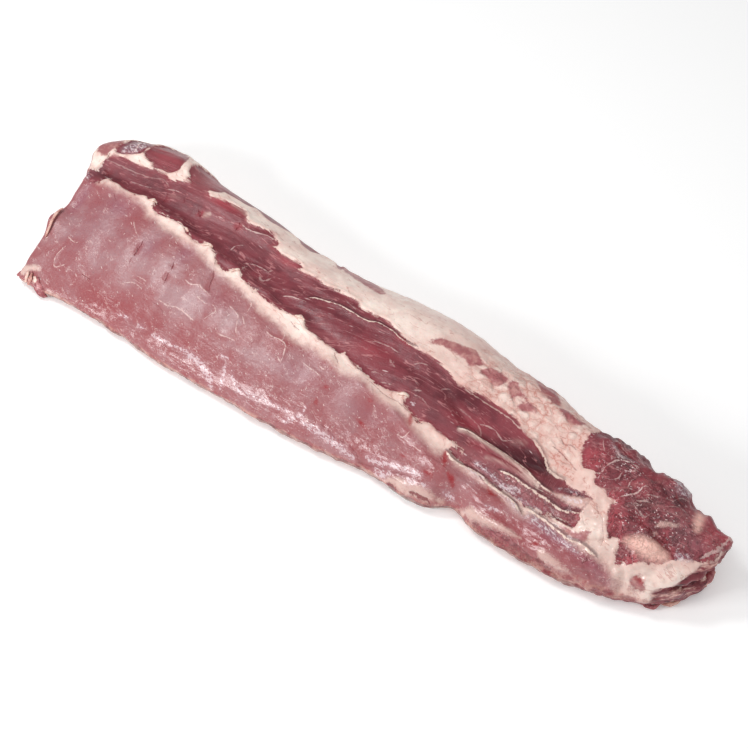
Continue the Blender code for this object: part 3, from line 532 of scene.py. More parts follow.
class Ruler:
    """Measures how far a set of places lies from lines and outlines.

    Args:
        places: The places, as rows of two coordinates.
        reach: The distance past which nothing is measured.
    """

    def __init__(self, places: np.ndarray, reach: float = 12.0) -> None:
        self.places = places
        self.reach = reach

    def _near(self, line: np.ndarray) -> np.ndarray:
        """The rows of the places within reach of the line's box."""
        low, high = line.min(axis=0) - self.reach, line.max(axis=0) + self.reach
        return np.flatnonzero(np.all((self.places > low) & (self.places < high), axis=1))

    def beside(self, line: np.ndarray) -> tuple[np.ndarray, np.ndarray, np.ndarray]:
        """Measures the places near a line.

        Args:
            line: The line's points, one row each.

        Returns:
            The rows measured, their distance from the line, positive on its left, and the distance
            along it to its nearer end.
        """
        rows = self._near(line)
        places = self.places[rows]
        gap = np.full(len(rows), np.inf)
        side = np.ones(len(rows))
        run = np.zeros(len(rows))
        steps = np.diff(line, axis=0)
        lengths = np.hypot(*steps.T)
        starts = np.concatenate([[0.0], np.cumsum(lengths)])
        for start, step, length, before in zip(line, steps, lengths, starts):
            away = places - start
            share = np.clip(away @ step / length**2, 0.0, 1.0)
            off = away - share[:, None] * step
            here = np.hypot(off[:, 0], off[:, 1])
            closer = here < gap
            gap = np.where(closer, here, gap)
            turn = step[0] * away[:, 1] - step[1] * away[:, 0]
            side = np.where(closer, np.where(turn < 0, -1.0, 1.0), side)
            run = np.where(closer, before + share * length, run)
        return rows, gap * side, np.minimum(run, starts[-1] - run)

    def patch(self, outline: Line) -> np.ndarray:
        """Measures how far inside a closed outline the places are.

        Args:
            outline: The outline's places in order.

        Returns:
            The distance inside it, in millimetres, negative outside and no more than the reach.
        """
        ring = smooth_line(outline, closed=True)
        line = np.vstack([ring, ring[:1]])
        rows, gap, _ = self.beside(line)
        x, y = self.places[rows].T
        inside = np.zeros(len(rows), bool)
        for (x0, y0), (x1, y1) in zip(line[:-1], line[1:]):
            if y0 != y1:
                crosses = ((y0 > y) != (y1 > y)) & (x < x0 + (y - y0) * (x1 - x0) / (y1 - y0))
                inside ^= crosses
        depth = np.full(len(self.places), -self.reach)
        depth[rows] = np.where(inside, np.abs(gap), -np.abs(gap))
        return np.clip(depth, -self.reach, self.reach)

    def patches(self, outlines: tuple[Line, ...]) -> np.ndarray:
        """How far inside the nearest of several outlines each place is, negative outside all."""
        return np.max([self.patch(outline) for outline in outlines], axis=0)

    def strands(self, strands: tuple[Strand, ...]) -> np.ndarray:
        """Measures a set of thin strands.

        Args:
            strands: The strands, none closer to another than a few millimetres.

        Returns:
            Rows of the distance beside the nearest strand, its half width there and its strength.
        """
        found = np.zeros((len(self.places), 3))
        found[:, 0] = self.reach
        for strand in strands:
            rows, beside, from_end = self.beside(smooth_line(strand.line, steps=5))
            taper = ease(-0.5, 3.0 * strand.half_width, from_end)
            fade = 1.0 - ease(strand.half_width + 1.4, strand.half_width + 2.8, np.abs(beside))
            closer = np.abs(beside) < np.abs(found[rows, 0])
            made = np.column_stack([beside, strand.half_width * taper * fade, strand.strength * fade])
            found[rows[closer]] = made[closer]
        return found

    def relief(self, strands: tuple[Strand, ...], spread: float = 0.7) -> np.ndarray:
        """Measures how far strands raise the surface, or sink it.

        Args:
            strands: The strands.
            spread: How far the relief reaches past a strand's own half width.

        Returns:
            The height at each place.
        """
        height = np.zeros(len(self.places))
        for strand in strands:
            rows, beside, from_end = self.beside(smooth_line(strand.line))
            width = strand.half_width + spread
            height[rows] += strand.rise * bell(beside, width) * ease(0.0, 2.0 * width, from_end)
        return height

    def halo(self, strands: tuple[Strand, ...], spread: float) -> np.ndarray:
        """Measures a soft stain round each strand.

        Args:
            strands: The strands.
            spread: How far the stain reaches.

        Returns:
            Its share at each place, from 0 to the strand's strength.
        """
        stain = np.zeros(len(self.places))
        for strand in strands:
            rows, beside, from_end = self.beside(smooth_line(strand.line))
            share = strand.strength * bell(beside, spread) * ease(-0.5, spread, from_end)
            stain[rows] = np.maximum(stain[rows], share)
        return stain

    def trickles(self, strands: tuple[Strand, ...]) -> np.ndarray:
        """Measures how far inside the nearest trickle the places are.

        Args:
            strands: The trickles. A weak one counts as narrower than it is.

        Returns:
            The distance inside, negative outside.
        """
        depth = np.full(len(self.places), -self.reach)
        for strand in strands:
            rows, beside, from_end = self.beside(smooth_line(strand.line))
            taper = 0.4 + 0.6 * ease(0.0, 3.0 * strand.half_width, from_end)
            inside = strand.half_width * taper - np.abs(beside) - 1.2 * (1.0 - strand.strength)
            depth[rows] = np.maximum(depth[rows], inside)
        return depth

    def blush(self, ovals: tuple[Blush, ...]) -> np.ndarray:
        """Measures the strongest of several soft ovals.

        Args:
            ovals: The ovals.

        Returns:
            Its strength at each place.
        """
        x, y = self.places.T
        shares = []
        for oval in ovals:
            along, across = (x - oval.x) / oval.half_length, (y - oval.y) / oval.half_width
            shares.append(oval.strength * np.exp(-(along**2) - across**2))
        return np.max(shares, axis=0)


class Surface:
    """A mesh's vertices, in millimetres, and the ways that they face.

    Args:
        mesh: The mesh, with its scale in metres.
    """

    def __init__(self, mesh: bpy.types.Mesh) -> None:
        self.mesh = mesh
        self.places = self._read("co") / MM
        self.normals = self._read("normal")
        self.x, self.y, self.z = self.places.T
        self.to_right, self.to_back, self.to_top = self.normals.T
        self.plan = Ruler(self.places[:, :2])

    def _read(self, name: str) -> np.ndarray:
        """Reads three numbers of every vertex.

        Args:
            name: What they are called.

        Returns:
            The numbers, a row for each vertex.
        """
        values = np.empty(len(self.mesh.vertices) * 3)
        self.mesh.vertices.foreach_get(name, values)
        return values.reshape(-1, 3)

    def raise_by(self, height: np.ndarray) -> None:
        """Moves each vertex of the mesh along its normal, by a height in millimetres."""
        self.mesh.vertices.foreach_set("co", ((self.places + self.normals * height[:, None]) * MM).ravel())
        self.mesh.update()


# ---------------------------------------------------------------- shader maths
def linear(tint: Tint) -> tuple[float, ...]:
    """Turns a colour into linear light.

    Args:
        tint: The colour seen on screen, 0 to 255 a channel.

    Returns:
        The colour's light, and 1 for opaque.
    """
    shares = [channel / 255.0 for channel in tint]
    light = [s / 12.92 if s <= 0.04045 else ((s + 0.055) / 1.055) ** 2.4 for s in shares]
    return (*light, 1.0)


class Signal:
    """A shader socket whose arithmetic adds Math nodes.

    Args:
        kit: The tree that the socket belongs to.
        socket: The output socket.
    """

    def __init__(self, kit: "Shader", socket: bpy.types.NodeSocket) -> None:
        self.kit = kit
        self.socket = socket

    def __add__(self, other: "Signal | float") -> "Signal":
        """This plus other."""
        return self.kit.math("ADD", self, other)

    def __radd__(self, other: float) -> "Signal":
        """A number plus this."""
        return self.kit.math("ADD", other, self)

    def __sub__(self, other: "Signal | float") -> "Signal":
        """This less other."""
        return self.kit.math("SUBTRACT", self, other)

    def __rsub__(self, other: float) -> "Signal":
        """A number less this."""
        return self.kit.math("SUBTRACT", other, self)

    def __mul__(self, other: "Signal | float") -> "Signal":
        """This times other."""
        return self.kit.math("MULTIPLY", self, other)

    def __rmul__(self, other: float) -> "Signal":
        """A number times this."""
        return self.kit.math("MULTIPLY", other, self)

    def __truediv__(self, other: "Signal | float") -> "Signal":
        """This divided by other."""
        return self.kit.math("DIVIDE", self, other)

    def __abs__(self) -> "Signal":
        """This without its sign."""
        return self.kit.math("ABSOLUTE", self)

    def most(self, other: "Signal | float") -> "Signal":
        """The larger of this and other."""
        return self.kit.math("MAXIMUM", self, other)

    def step(self, low: float, high: float) -> "Signal":
        """Steps smoothly from 0 to 1.

        Args:
            low: Where the step begins. Above high, it runs down from 1 at high to 0 at low.
            high: Where it ends.

        Returns:
            The share.
        """
        if low > high:
            return 1.0 - self.step(high, low)
        inputs = {"Value": self, "From Min": low, "From Max": high}
        return self.kit.node("ShaderNodeMapRange", {"interpolation_type": "SMOOTHSTEP"}, inputs)


@dataclass(frozen=True)
class Grain:
    """A noise pattern: its lumps' size in millimetres, how fine it is, its turn and its stretch."""

    size: float
    detail: float = 2.0
    rough: float = 0.5
    turn: float = 0.0
    stretch: float = 1.0


@dataclass(frozen=True)
class Flecks:
    """Crisp flecks, one in some of the cells that the surface is divided in.

    The cells' size, the share of them without a fleck, the flecks' half width as a share of a cell,
    their turn and how many times as long as wide they are.
    """

    size: float
    bare: float
    width: float
    turn: float = 0.0
    stretch: float = 1.0


class Shader:
    """Builds one material's nodes.

    Args:
        name: The material's name.
    """

    def __init__(self, name: str) -> None:
        self.material = bpy.data.materials.new(name)
        self.material.use_nodes = True
        self.tree = self.material.node_tree
        self.surface = self.tree.nodes["Principled BSDF"]
        self.points: dict[tuple[float, float], Signal] = {}

    def node(
        self,
        kind: str,
        settings: dict[str, object] | None = None,
        inputs: dict[str | int, object] | None = None,
        output: str | int = 0,
    ) -> Signal:
        """Adds a node.

        Args:
            kind: The node's type.
            settings: Its own settings, which are set first.
            inputs: Values or signals by socket name or number.
            output: The output that is wanted.

        Returns:
            That output as a signal.
        """
        made = self.tree.nodes.new(kind)
        for name, value in (settings or {}).items():
            setattr(made, name, value)
        for name, value in (inputs or {}).items():
            if isinstance(value, Signal):
                self.tree.links.new(value.socket, made.inputs[name])
            else:
                made.inputs[name].default_value = value
        return Signal(self, made.outputs[output])

    def math(self, operation: str, *values: "Signal | float") -> Signal:
        """Adds a Math node."""
        return self.node("ShaderNodeMath", {"operation": operation}, dict(enumerate(values)))

    def vector_math(self, operation: str, inputs: dict[str | int, object]) -> Signal:
        """Adds a Vector Math node."""
        return self.node("ShaderNodeVectorMath", {"operation": operation}, inputs)

    def mix(self, share: Signal | float, low: Signal | Tint, high: Signal | Tint) -> Signal:
        """Mixes two colours.

        Args:
            share: 0 for low, 1 for high.
            low: A colour signal, or a colour seen on screen.
            high: The other one.

        Returns:
            The colour between them.
        """
        colours = [c if isinstance(c, Signal) else linear(c) for c in (low, high)]
        inputs = {0: share, 6: colours[0], 7: colours[1]}
        return self.node("ShaderNodeMix", {"data_type": "RGBA"}, inputs, 2)

    def attribute(self, name: str, output: str = "Fac") -> Signal:
        """Reads one of the mesh's own attributes."""
        return self.node("ShaderNodeAttribute", {"attribute_name": name}, {}, output)

    def parts(self, name: str) -> tuple[Signal, Signal, Signal]:
        """Reads the three numbers of one of the mesh's own attributes.

        Args:
            name: The attribute's name.

        Returns:
            A signal for each number.
        """
        vector = self.attribute(name, "Vector")
        split = [self.node("ShaderNodeSeparateXYZ", {}, {0: vector}, axis) for axis in range(3)]
        return split[0], split[1], split[2]

    def place(self, turn: float = 0.0, stretch: float = 1.0) -> Signal:
        """The point on the surface in millimetres.

        Args:
            turn: How far the pattern is turned about z, in degrees.
            stretch: How much longer the pattern is along its own x axis.

        Returns:
            The turned and stretched point.
        """
        if (turn, stretch) not in self.points:
            point = self.node("ShaderNodeTexCoord", {}, {}, "Object")
            turned = {"Vector": point, "Rotation": (0.0, 0.0, math.radians(-turn))}
            spun = self.node("ShaderNodeMapping", {"vector_type": "POINT"}, turned)
            scaled = {"Vector": spun, "Scale": (1.0 / (MM * stretch), 1.0 / MM, 1.0 / MM)}
            self.points[turn, stretch] = self.node("ShaderNodeMapping", {"vector_type": "POINT"}, scaled)
        return self.points[turn, stretch]

    def noise(self, grain: Grain, point: Signal | None = None, output: str | int = 0) -> Signal:
        """Noise from 0 to 1.

        Args:
            grain: The noise's pattern.
            point: Where it is read, or nothing for the surface's own place.
            output: The output that is wanted.

        Returns:
            The noise as a signal.
        """
        inputs = {"Vector": point or self.place(grain.turn, grain.stretch), "Scale": 1.0 / grain.size}
        inputs |= {"Detail": grain.detail, "Roughness": grain.rough}
        return self.node("ShaderNodeTexNoise", {}, inputs, output)

    def veins(self, grain: Grain, wide: float, thin: float, point: Signal | None = None) -> Signal:
        """Thin wandering lines, where noise passes its middle value.

        Args:
            grain: The noise's pattern.
            wide: How far from the middle value the lines end.
            thin: How far from it they are full.
            point: Where it is read, or nothing for the surface's own place.

        Returns:
            1 on a line, 0 beside it.
        """
        return abs(self.noise(grain, point) - 0.5).step(wide, thin)

    def cells(self, point: Signal, size: float, feature: str = "F1", output: str = "Distance") -> Signal:
        """Cells about size millimetres across."""
        inputs = {"Vector": point, "Scale": 1.0 / size}
        return self.node("ShaderNodeTexVoronoi", {"feature": feature}, inputs, output)

    def flecks(self, flecks: Flecks, point: Signal | None = None) -> Signal:
        """Crisp flecks.

        Args:
            flecks: Their pattern.
            point: Where it is read, or nothing for the surface's own place.

        Returns:
            1 on a fleck, 0 beside it.
        """
        point = point or self.place(flecks.turn, flecks.stretch)
        chosen = self.cells(point, flecks.size, output="Color")
        chance = self.node("ShaderNodeSeparateColor", {}, {0: chosen}).step(flecks.bare, flecks.bare + 0.06)
        return self.cells(point, flecks.size).step(flecks.width * 1.25, flecks.width * 0.6) * chance

    def feed(self, **values: "Signal | float | tuple[float, ...]") -> None:
        """Sets or links the surface's own sockets.

        Args:
            values: Values or signals by socket name, with _ for a space.
        """
        for name, value in values.items():
            socket = self.surface.inputs[name.replace("_", " ")]
            if isinstance(value, Signal):
                self.tree.links.new(value.socket, socket)
            else:
                socket.default_value = value

    def bump(self, height: Signal) -> Signal:
        """A normal from a height in millimetres."""
        inputs = {"Height": height, "Strength": 1.0, "Distance": MM}
        return self.node("ShaderNodeBump", {}, inputs, "Normal")


class Coat:
    """A tissue's finish, built up in layers.

    Args:
        kit: The tree that the layers are added to.
        colour: The lowest layer's colour.
        height: Its relief in millimetres.
        roughness: How rough it is.
    """

    def __init__(
        self, kit: Shader, colour: Signal, height: Signal | float = 0.0, roughness: Signal | float = 0.0
    ) -> None:
        self.kit = kit
        self.colour = colour
        self.height = height
        self.roughness = roughness

    def lay(self, share: Signal | float, tint: Signal | Tint) -> None:
        """Covers a share of the coat with a tint or with another colour."""
        self.colour = self.kit.mix(share, self.colour, tint)

    def joined(self, share: Signal, other: "Coat") -> "Coat":
        """Joins this coat to another one.

        Args:
            share: 0 where this coat shows, 1 where the other one does.
            other: The other coat.

        Returns:
            A new coat.
        """
        rest = 1.0 - share
        colour = self.kit.mix(share, self.colour, other.colour)
        height = self.height * rest + other.height * share
        return Coat(self.kit, colour, height, self.roughness * rest + other.roughness * share)


# ---------------------------------------------------------------- finishes
@dataclass(frozen=True)
class FatFinish:
    """Cream fat, with pink where lean lies under it and thin brown cracks between its lobes."""

    cream: Tint = (250, 231, 220)
    shade: Tint = (234, 204, 194)
    pink: Tint = (218, 168, 158)
    seam: Tint = (212, 178, 168)
    gap: Tint = (196, 124, 114)
    crack: Tint = (176, 98, 84)
    roughness: float = 0.42
    cloud: Grain = Grain(20.0, 4.0, 0.6)
    wander: Grain = Grain(6.25, 3.0)
    wander_reach: float = 8.0
    lobe_size: float = 7.6
    lobe_turn: float = -16.0
    lobe_stretch: float = 1.7
    vein: Grain = Grain(10.0, 3.0, 0.5, -15.0, 4.0)
    swell: Grain = Grain(6.0)
    fine: Grain = Grain(1.6, 3.0)


@dataclass(frozen=True)
class FaceFinish:
    """The pale rib face: milky pink lean under a thin membrane, partly painted sheen; short pale hairs;
    painted specks.
    """

    pale: Tint = (168, 127, 130)
    pink: Tint = (156, 92, 95)
    red: Tint = (150, 66, 70)
    purple: Tint = (134, 70, 92)
    hair: Tint = (226, 196, 192)
    roughness: float = 0.30
    cloud: Grain = Grain(24.0, 4.0, 0.6)
    mottle: Grain = Grain(2.6, 4.0, 0.65)
    long_hair: Flecks = Flecks(1.7, 0.74, 0.20, -38.0, 5.0)
    short_hair: Flecks = Flecks(2.1, 0.88, 0.18, 62.0, 4.0)
    film: Grain = Grain(9.0, 4.0, 0.6, -30.0, 2.4)
    speck: Grain = Grain(1.1, 3.0, 0.65)
    ripple: Grain = Grain(5.0, 3.0, 0.6, -6.0, 3.0)


@dataclass(frozen=True)
class LeanFinish:
    """Dark lean with fine fibres along the loin, wet lean at the blade end, painted glints and painted
    shade in creases.
    """

    mid: Tint = (132, 56, 65)
    dark: Tint = (104, 39, 49)
    deep: Tint = (62, 20, 28)
    red: Tint = (182, 70, 80)
    mauve: Tint = (130, 82, 94)
    fibre: Tint = (186, 120, 122)
    glint: Tint = (250, 224, 222)
    pale: Tint = (172, 102, 106)
    island: Tint = (156, 82, 87)
    roughness: float = 0.36
    cloud: Grain = Grain(13.0, 4.0, 0.6)
    bundle: Grain = Grain(6.0, 3.0, 0.55)
    cord: Grain = Grain(3.1)
    wide_cord: Grain = Grain(4.7)
    streak: Flecks = Flecks(1.9, 0.70, 0.15)
    net: Grain = Grain(8.0, 3.0, 0.6)
    crease: Grain = Grain(6.0, 3.0, 0.6)
    tuft: Grain = Grain(15.0)
    sparkle: Flecks = Flecks(1.9, 0.66, 0.24)
    glint_dash: Flecks = Flecks(1.4, 0.48, 0.25, -35.0, 2.8)
    cross_glint_dash: Flecks = Flecks(1.6, 0.62, 0.22, 25.0, 3.2)
    speck: Grain = Grain(1.3, 3.0, 0.65)


@dataclass(frozen=True)
class LineFinish:
    """Threads, folds, slits, silverskin, blood, hem, painted shadow, painted highlights and painted sheen.
    """

    thread: Tint = (228, 198, 192)
    fold: Tint = (238, 212, 198)
    slit: Tint = (120, 26, 36)
    silver: Tint = (222, 204, 206)
    lilac: Tint = (168, 136, 150)
    blood: Tint = (150, 14, 24)
    bone: Tint = (252, 200, 186)
    painted_highlight: Tint = (230, 210, 214)
    painted_sheen: Tint = (196, 158, 166)
    hem: Tint = (200, 150, 138)
    shadow: Tint = (104, 46, 46)
    torn: Grain = Grain(3.4, 4.0, 0.7, -14.0, 2.0)
    shine: Grain = Grain(1.5, 3.0, 0.65, -25.0, 2.2)
    broken: Grain = Grain(3.2, 3.0, 0.6)
    ripple: Grain = Grain(1.5, 3.0, 0.7, -20.0, 1.8)


@dataclass(frozen=True)
class CommonGrains:
    """Patterns of the borders, the fibres, the cut ends and the gloss, which the tissues share."""

    ragged: Grain = Grain(3.2, 3.0)
    ragged_fine: Grain = Grain(1.0)
    fibre: Grain = Grain(2.0, 4.0, 0.65)
    patchy: Grain = Grain(7.0, 4.0, 0.6)
    layers: Grain = Grain(1.0, 4.0, 0.65)
    marbled: Grain = Grain(4.0, 4.0, 0.6)
    rough: Grain = Grain(2.2, 4.0, 0.6)


class LoinMaterial:
    """The finish of the whole loin, drawn from the distances stored on its mesh.

    Args:
        fat: The fat's colours and patterns.
        face: The rib face's.
        lean: The dark lean's.
        lines: Those of everything thin.
        common: The patterns that they share.
    """

    def __init__(
        self, fat: FatFinish, face: FaceFinish, lean: LeanFinish, lines: LineFinish, common: CommonGrains
    ) -> None:
        self.fat, self.face, self.lean, self.lines, self.common = fat, face, lean, lines, common
        self.kit = Shader("raw_pork_loin")
        self.flow = self.kit.attribute("flow", "Vector")
        self.in_lean = self.kit.attribute("lean")
        self.in_face = self.kit.attribute("face")
        self.red, self.purple, self.pale = self.kit.parts("tints")
        self.deep, self.lobed, self.wet = self.kit.parts("shades")
        coarse = self.kit.noise(common.ragged) - 0.5
        fine = self.kit.noise(common.ragged_fine) - 0.5
        self.ragged = coarse * 2.0 + fine * 1.6
        self.fibre = self.kit.noise(common.fibre, self.flow)
        self.patchy = self.kit.noise(common.patchy)
        self.bed = self.fat_coat()
        self.on_face = (self.in_face + self.ragged * 1.4 + (self.patchy - 0.5) * 6.0).step(-3.6, 5.0)
        on_fat = self.bed.joined(self.on_face, self.face_coat())
        self.coat = on_fat.joined(self.lean_share(), self.lean_coat())

    def fat_coat(self) -> Coat:
        """Lays the fat, tinted where lean or the rib face lies near it or under it.

        Returns:
            Its coat.
        """
        kit, finish = self.kit, self.fat
        cloud = kit.noise(finish.cloud)
        coat = Coat(kit, kit.mix(cloud.step(0.36, 0.68), finish.cream, finish.shade))
        coat.lay(self.lobed * 0.46, finish.pink)
        coat.lay(self.patchy.step(0.44, 0.76) * (0.22 + self.lobed * 0.65), finish.pink)
        coat.lay((self.red * 0.9).most(self.lobed * 0.45), finish.seam)
        edge = self.lobe_edge()
        cracked = self.lobed.step(0.62, 1.0)
        coat.lay(edge.step(0.05, 0.008) * cloud.step(0.36, 0.56) * cracked * 0.60, finish.crack)
        vein = kit.veins(finish.vein, 0.014, 0.003)
        coat.lay(vein * self.patchy.step(0.42, 0.56) * 0.50, finish.crack)
        coat.lay(edge.step(0.17, 0.02) * cracked * cloud.step(0.30, 0.52) * 0.26, finish.gap)
        coat.lay(edge.step(0.16, 0.36) * cracked * self.patchy.step(0.62, 0.44) * 0.45, finish.cream)
        lobe = edge.step(0.0, 0.40) * cracked
        coat.height = lobe * 0.8 + kit.noise(finish.fine) * 0.15 + kit.noise(finish.swell) * 0.4
        coat.roughness = finish.roughness
        under = (self.in_lean + self.ragged * 1.5).step(-4.0, 0.3)
        coat.lay(under * 0.30, finish.pink)
        coat.lay(self.in_lean.step(-8.0, -0.5) * self.fibre.step(0.54, 0.68) * 0.45, finish.pink)
        coat.lay(self.in_face.step(-10.0, 1.0) * (0.30 + self.patchy * 0.8), finish.seam)
        return coat

    def lobe_edge(self) -> Signal:
        """Divides the fat in wandering lobes.

        Returns:
            The distance to the nearest gap between two, as a share of a lobe.
        """
        kit, finish = self.kit, self.fat
        drift = kit.noise(finish.wander, output="Color")
        drift = kit.vector_math("SCALE", {0: drift, "Scale": finish.wander_reach})
        stretched = kit.place(finish.lobe_turn, finish.lobe_stretch)
        warped = kit.vector_math("ADD", {0: stretched, 1: drift})
        return kit.cells(warped, finish.lobe_size, "DISTANCE_TO_EDGE")

    def face_coat(self) -> Coat:
        """Lays the rib face.

        Returns:
            Its coat.
        """
        finish = self.face
        cloud = self.kit.noise(finish.cloud)
        # The milky tone is partly the membrane's own colour and partly a painted sheen.
        milky = cloud.step(0.34, 0.66) * 0.55 + self.pale * 0.8 + (self.patchy - 0.5) * 0.5
        coat = Coat(self.kit, self.kit.mix(milky.step(0.0, 1.0), finish.pink, finish.pale))
        mottle = self.kit.noise(finish.mottle)
        coat.lay(mottle.step(0.46, 0.72) * 0.14, finish.red)
        coat.lay(self.red * (0.55 + self.patchy * 0.6), finish.red)
        coat.lay(self.purple * 0.5, finish.purple)
        hair = self.kit.flecks(finish.long_hair).most(self.kit.flecks(finish.short_hair))
        coat.lay(hair * mottle.step(0.40, 0.56), finish.hair)
        film = self.kit.veins(finish.film, 0.012, 0.003)
        coat.lay(film * self.patchy.step(0.48, 0.60) * 0.55, finish.hair)
        speck = self.kit.noise(finish.speck)
        # Painted highlights: fine white specks on the membrane; the same grain roughens the relief.
        coat.lay(speck.step(0.62, 0.76) * 0.20, finish.hair)
        ripple = self.kit.noise(finish.ripple) * (0.25 + self.wet * 1.2)
        coat.height = hair * 0.20 + speck * 0.12 + mottle * 0.16 + self.patchy * 0.30 + ripple
        coat.roughness = finish.roughness
        return coat

    def lean_coat(self) -> Coat:
        """Lays the dark lean.

        Returns:
            Its coat.
        """
        finish = self.lean
        cloud = self.kit.noise(finish.cloud)
        bundle = self.kit.noise(finish.bundle, self.flow)
        dark = cloud.step(0.40, 0.66) * 0.65 + bundle.step(0.42, 0.68) * 0.35
        coat = Coat(self.kit, self.kit.mix(dark, finish.mid, finish.dark))
        self.tint_lean(coat, cloud)
        bundle = self.lay_cords(coat, bundle)
        # Painted glints: short bright streaks along the fibres.
        coat.lay(self.kit.flecks(finish.streak, self.flow) * cloud.step(0.62, 0.44) * 0.55, finish.glint)
        net = self.kit.veins(finish.net, 0.016, 0.004) * self.wet * self.patchy.step(0.40, 0.56)
        coat.lay(net * 0.65, finish.fibre)
        crease = self.kit.veins(finish.crease, 0.022, 0.004) * self.wet
        # Painted shade: the wet lean's creases are darkened in colour as well as sunk.
        coat.lay(crease * bundle.step(0.60, 0.42) * 0.75, finish.deep)
        speck = self.lay_sparkle(coat)
        height = self.fibre * 0.30 + bundle * 0.50 + speck * (0.15 + self.wet * 0.45) + net * 0.3
        coat.height = height - crease * 0.4
        coat.roughness = finish.roughness
        return coat

    def tint_lean(self, coat: Coat, cloud: Signal) -> None:
        """Tints the lean broadly and draws its finest fibres.

        Args:
            coat: The lean's coat.
            cloud: Its broadest noise.
        """
        finish = self.lean
        border = (self.in_lean / (4.0 + self.wet * 6.0)).step(1.0, 0.0)
        border = border * (self.patchy - 0.15) * (0.5 + self.wet * 0.7)
        coat.lay((self.red * 0.8).most(border), finish.red)
        coat.lay(self.purple * 0.6, finish.mauve)
        # Darker where the DEEPER ovals lie; over the hollow pocket this is painted shade.
        coat.lay((self.deep * 0.85).step(0.0, 1.0), finish.deep)
        coat.lay(self.pale * 0.8, finish.pale)
        coat.lay(self.wet * cloud.step(0.48, 0.66) * 0.40, finish.deep)
        coat.lay(self.fibre.step(0.44, 0.30) * 0.25, finish.deep)
        coat.lay(self.fibre.step(0.54, 0.76) * 0.22, finish.fibre)

    def lay_cords(self, coat: Coat, bundle: Signal) -> Signal:
        """Draws pale cords that run with the lean's fibres.

        Args:
            coat: The lean's coat.
            bundle: The relief of its bundles of fibres.

        Returns:
            That relief with the cords on it.
        """
        for cord, bare in ((self.lean.cord, 0.50), (self.lean.wide_cord, 0.46)):
            chance = self.kit.noise(Grain(cord.size * 2.6, 3.0, 0.6)).step(bare, bare + 0.10)
            line = self.kit.veins(cord, 0.020, 0.006, self.flow) * chance
            coat.lay(line * 0.70, self.lean.fibre)
            bundle = bundle + line * 0.25
        return bundle

    def lay_sparkle(self, coat: Coat) -> Signal:
        """Draws the wet lean's dark tufts, and its painted glints: bright dashes, sparkle and specks.

        Args:
            coat: The lean's coat.

        Returns:
            The finest grain, from 0 to 1.
        """
        finish = self.lean
        dense = self.wet * self.in_lean.step(3.0, 8.0) * self.kit.noise(finish.tuft).step(0.46, 0.58)
        dense = dense.most(self.pale * self.wet * self.in_lean.step(0.0, 3.0))
        coat.lay(dense * self.fibre.step(0.56, 0.46) * 0.55, finish.deep)
        lively = 0.10 + self.wet * 0.90
        # Painted glints: sparkle where the lean is wet, and bright dashes in its tufts.
        glint = self.kit.flecks(finish.sparkle) * self.patchy.step(0.46, 0.60) * lively * 0.6
        glint_dashes = self.kit.flecks(finish.glint_dash).most(self.kit.flecks(finish.cross_glint_dash))
        coat.lay(glint.most(glint_dashes * dense), finish.glint)
        speck = self.kit.noise(finish.speck)
        # Painted glints: fine bright specks, most of them in the tufts.
        coat.lay(speck.step(0.62, 0.72) * (0.03 + dense * 0.35), finish.glint)
        return speck

    def lean_share(self) -> Signal:
        """Finds where the lean shows.

        Returns:
            Its share, with fingers along the fibres and a torn border at the seam.
        """
        torn = (self.kit.noise(self.lines.torn) - 0.53) * self.in_face.step(-11.9, -9.5)
        fingers = self.in_lean + self.ragged * 0.8 + (self.fibre - 0.5) * 5.0 + torn * 13.0
        return (fingers / (0.6 + self.patchy.step(0.42, 0.66) * 2.4)).step(-0.5, 0.5)

    def patch(self, name: str, ragged: float, low: float, high: float) -> Signal:
        """The share that a patch covers, from its distances, with its border broken by noise."""
        return (self.kit.attribute(name) + self.ragged * ragged).step(low, high)

    def lay_patches(self) -> None:
        """Lays films, islands of lean, patches of fat, pale beds, and membranes with partly painted shine.
        """
        kit, lines = self.kit, self.lines
        film = kit.attribute("films") * (0.55 + (self.fibre - 0.5) * 1.2)
        self.coat.lay(film.step(0.02, 0.9), lines.fold)
        inner = (kit.attribute("islands") + self.ragged * 1.6 + (self.patchy - 0.5) * 4.0).step(-1.2, 1.3)
        marbled = (self.patchy + (self.fibre - 0.5) * 0.5).step(0.45, 0.72) * 0.55
        self.coat.lay(inner * 0.92, kit.mix(marbled, self.lean.island, self.fat.pink))
        self.coat.lay(self.patch("rind", 1.6, -1.4, 1.6) * 0.80, self.bed.colour)
        self.coat.lay(self.patch("bone", 0.5, -3.4, 3.6) * 0.9, lines.bone)
        # Silverskin: its own lilac and silver tints, whiter where it shines, which is painted shine.
        silver = self.patch("silver", 2.4, -1.2, 2.4)
        shine = kit.noise(lines.shine)
        tint = kit.mix(shine.step(0.48, 0.60), lines.lilac, lines.silver)
        self.coat.lay(silver * (0.25 + 0.65 * shine.step(0.44, 0.58)), tint)
        self.coat.height = self.coat.height + silver * shine * 0.6

    def lay_stains(self) -> None:
        """Lays the blood, and the hem and the shadow under the near edge."""
        lines = self.lines
        self.coat.lay(self.patch("blood", 0.7, -1.8, 0.7) * 0.75, lines.blood)
        hem = self.kit.attribute("hem") + (self.patchy - 0.5) * 0.9 + self.ragged * 0.08
        edge = self.kit.mix(self.patchy.step(0.40, 0.62), lines.hem, self.face.red)
        self.coat.lay(hem.step(0.10, 0.50) * 0.80, edge)
        self.coat.lay(hem.step(0.66, 1.10) * 0.70, lines.shadow)

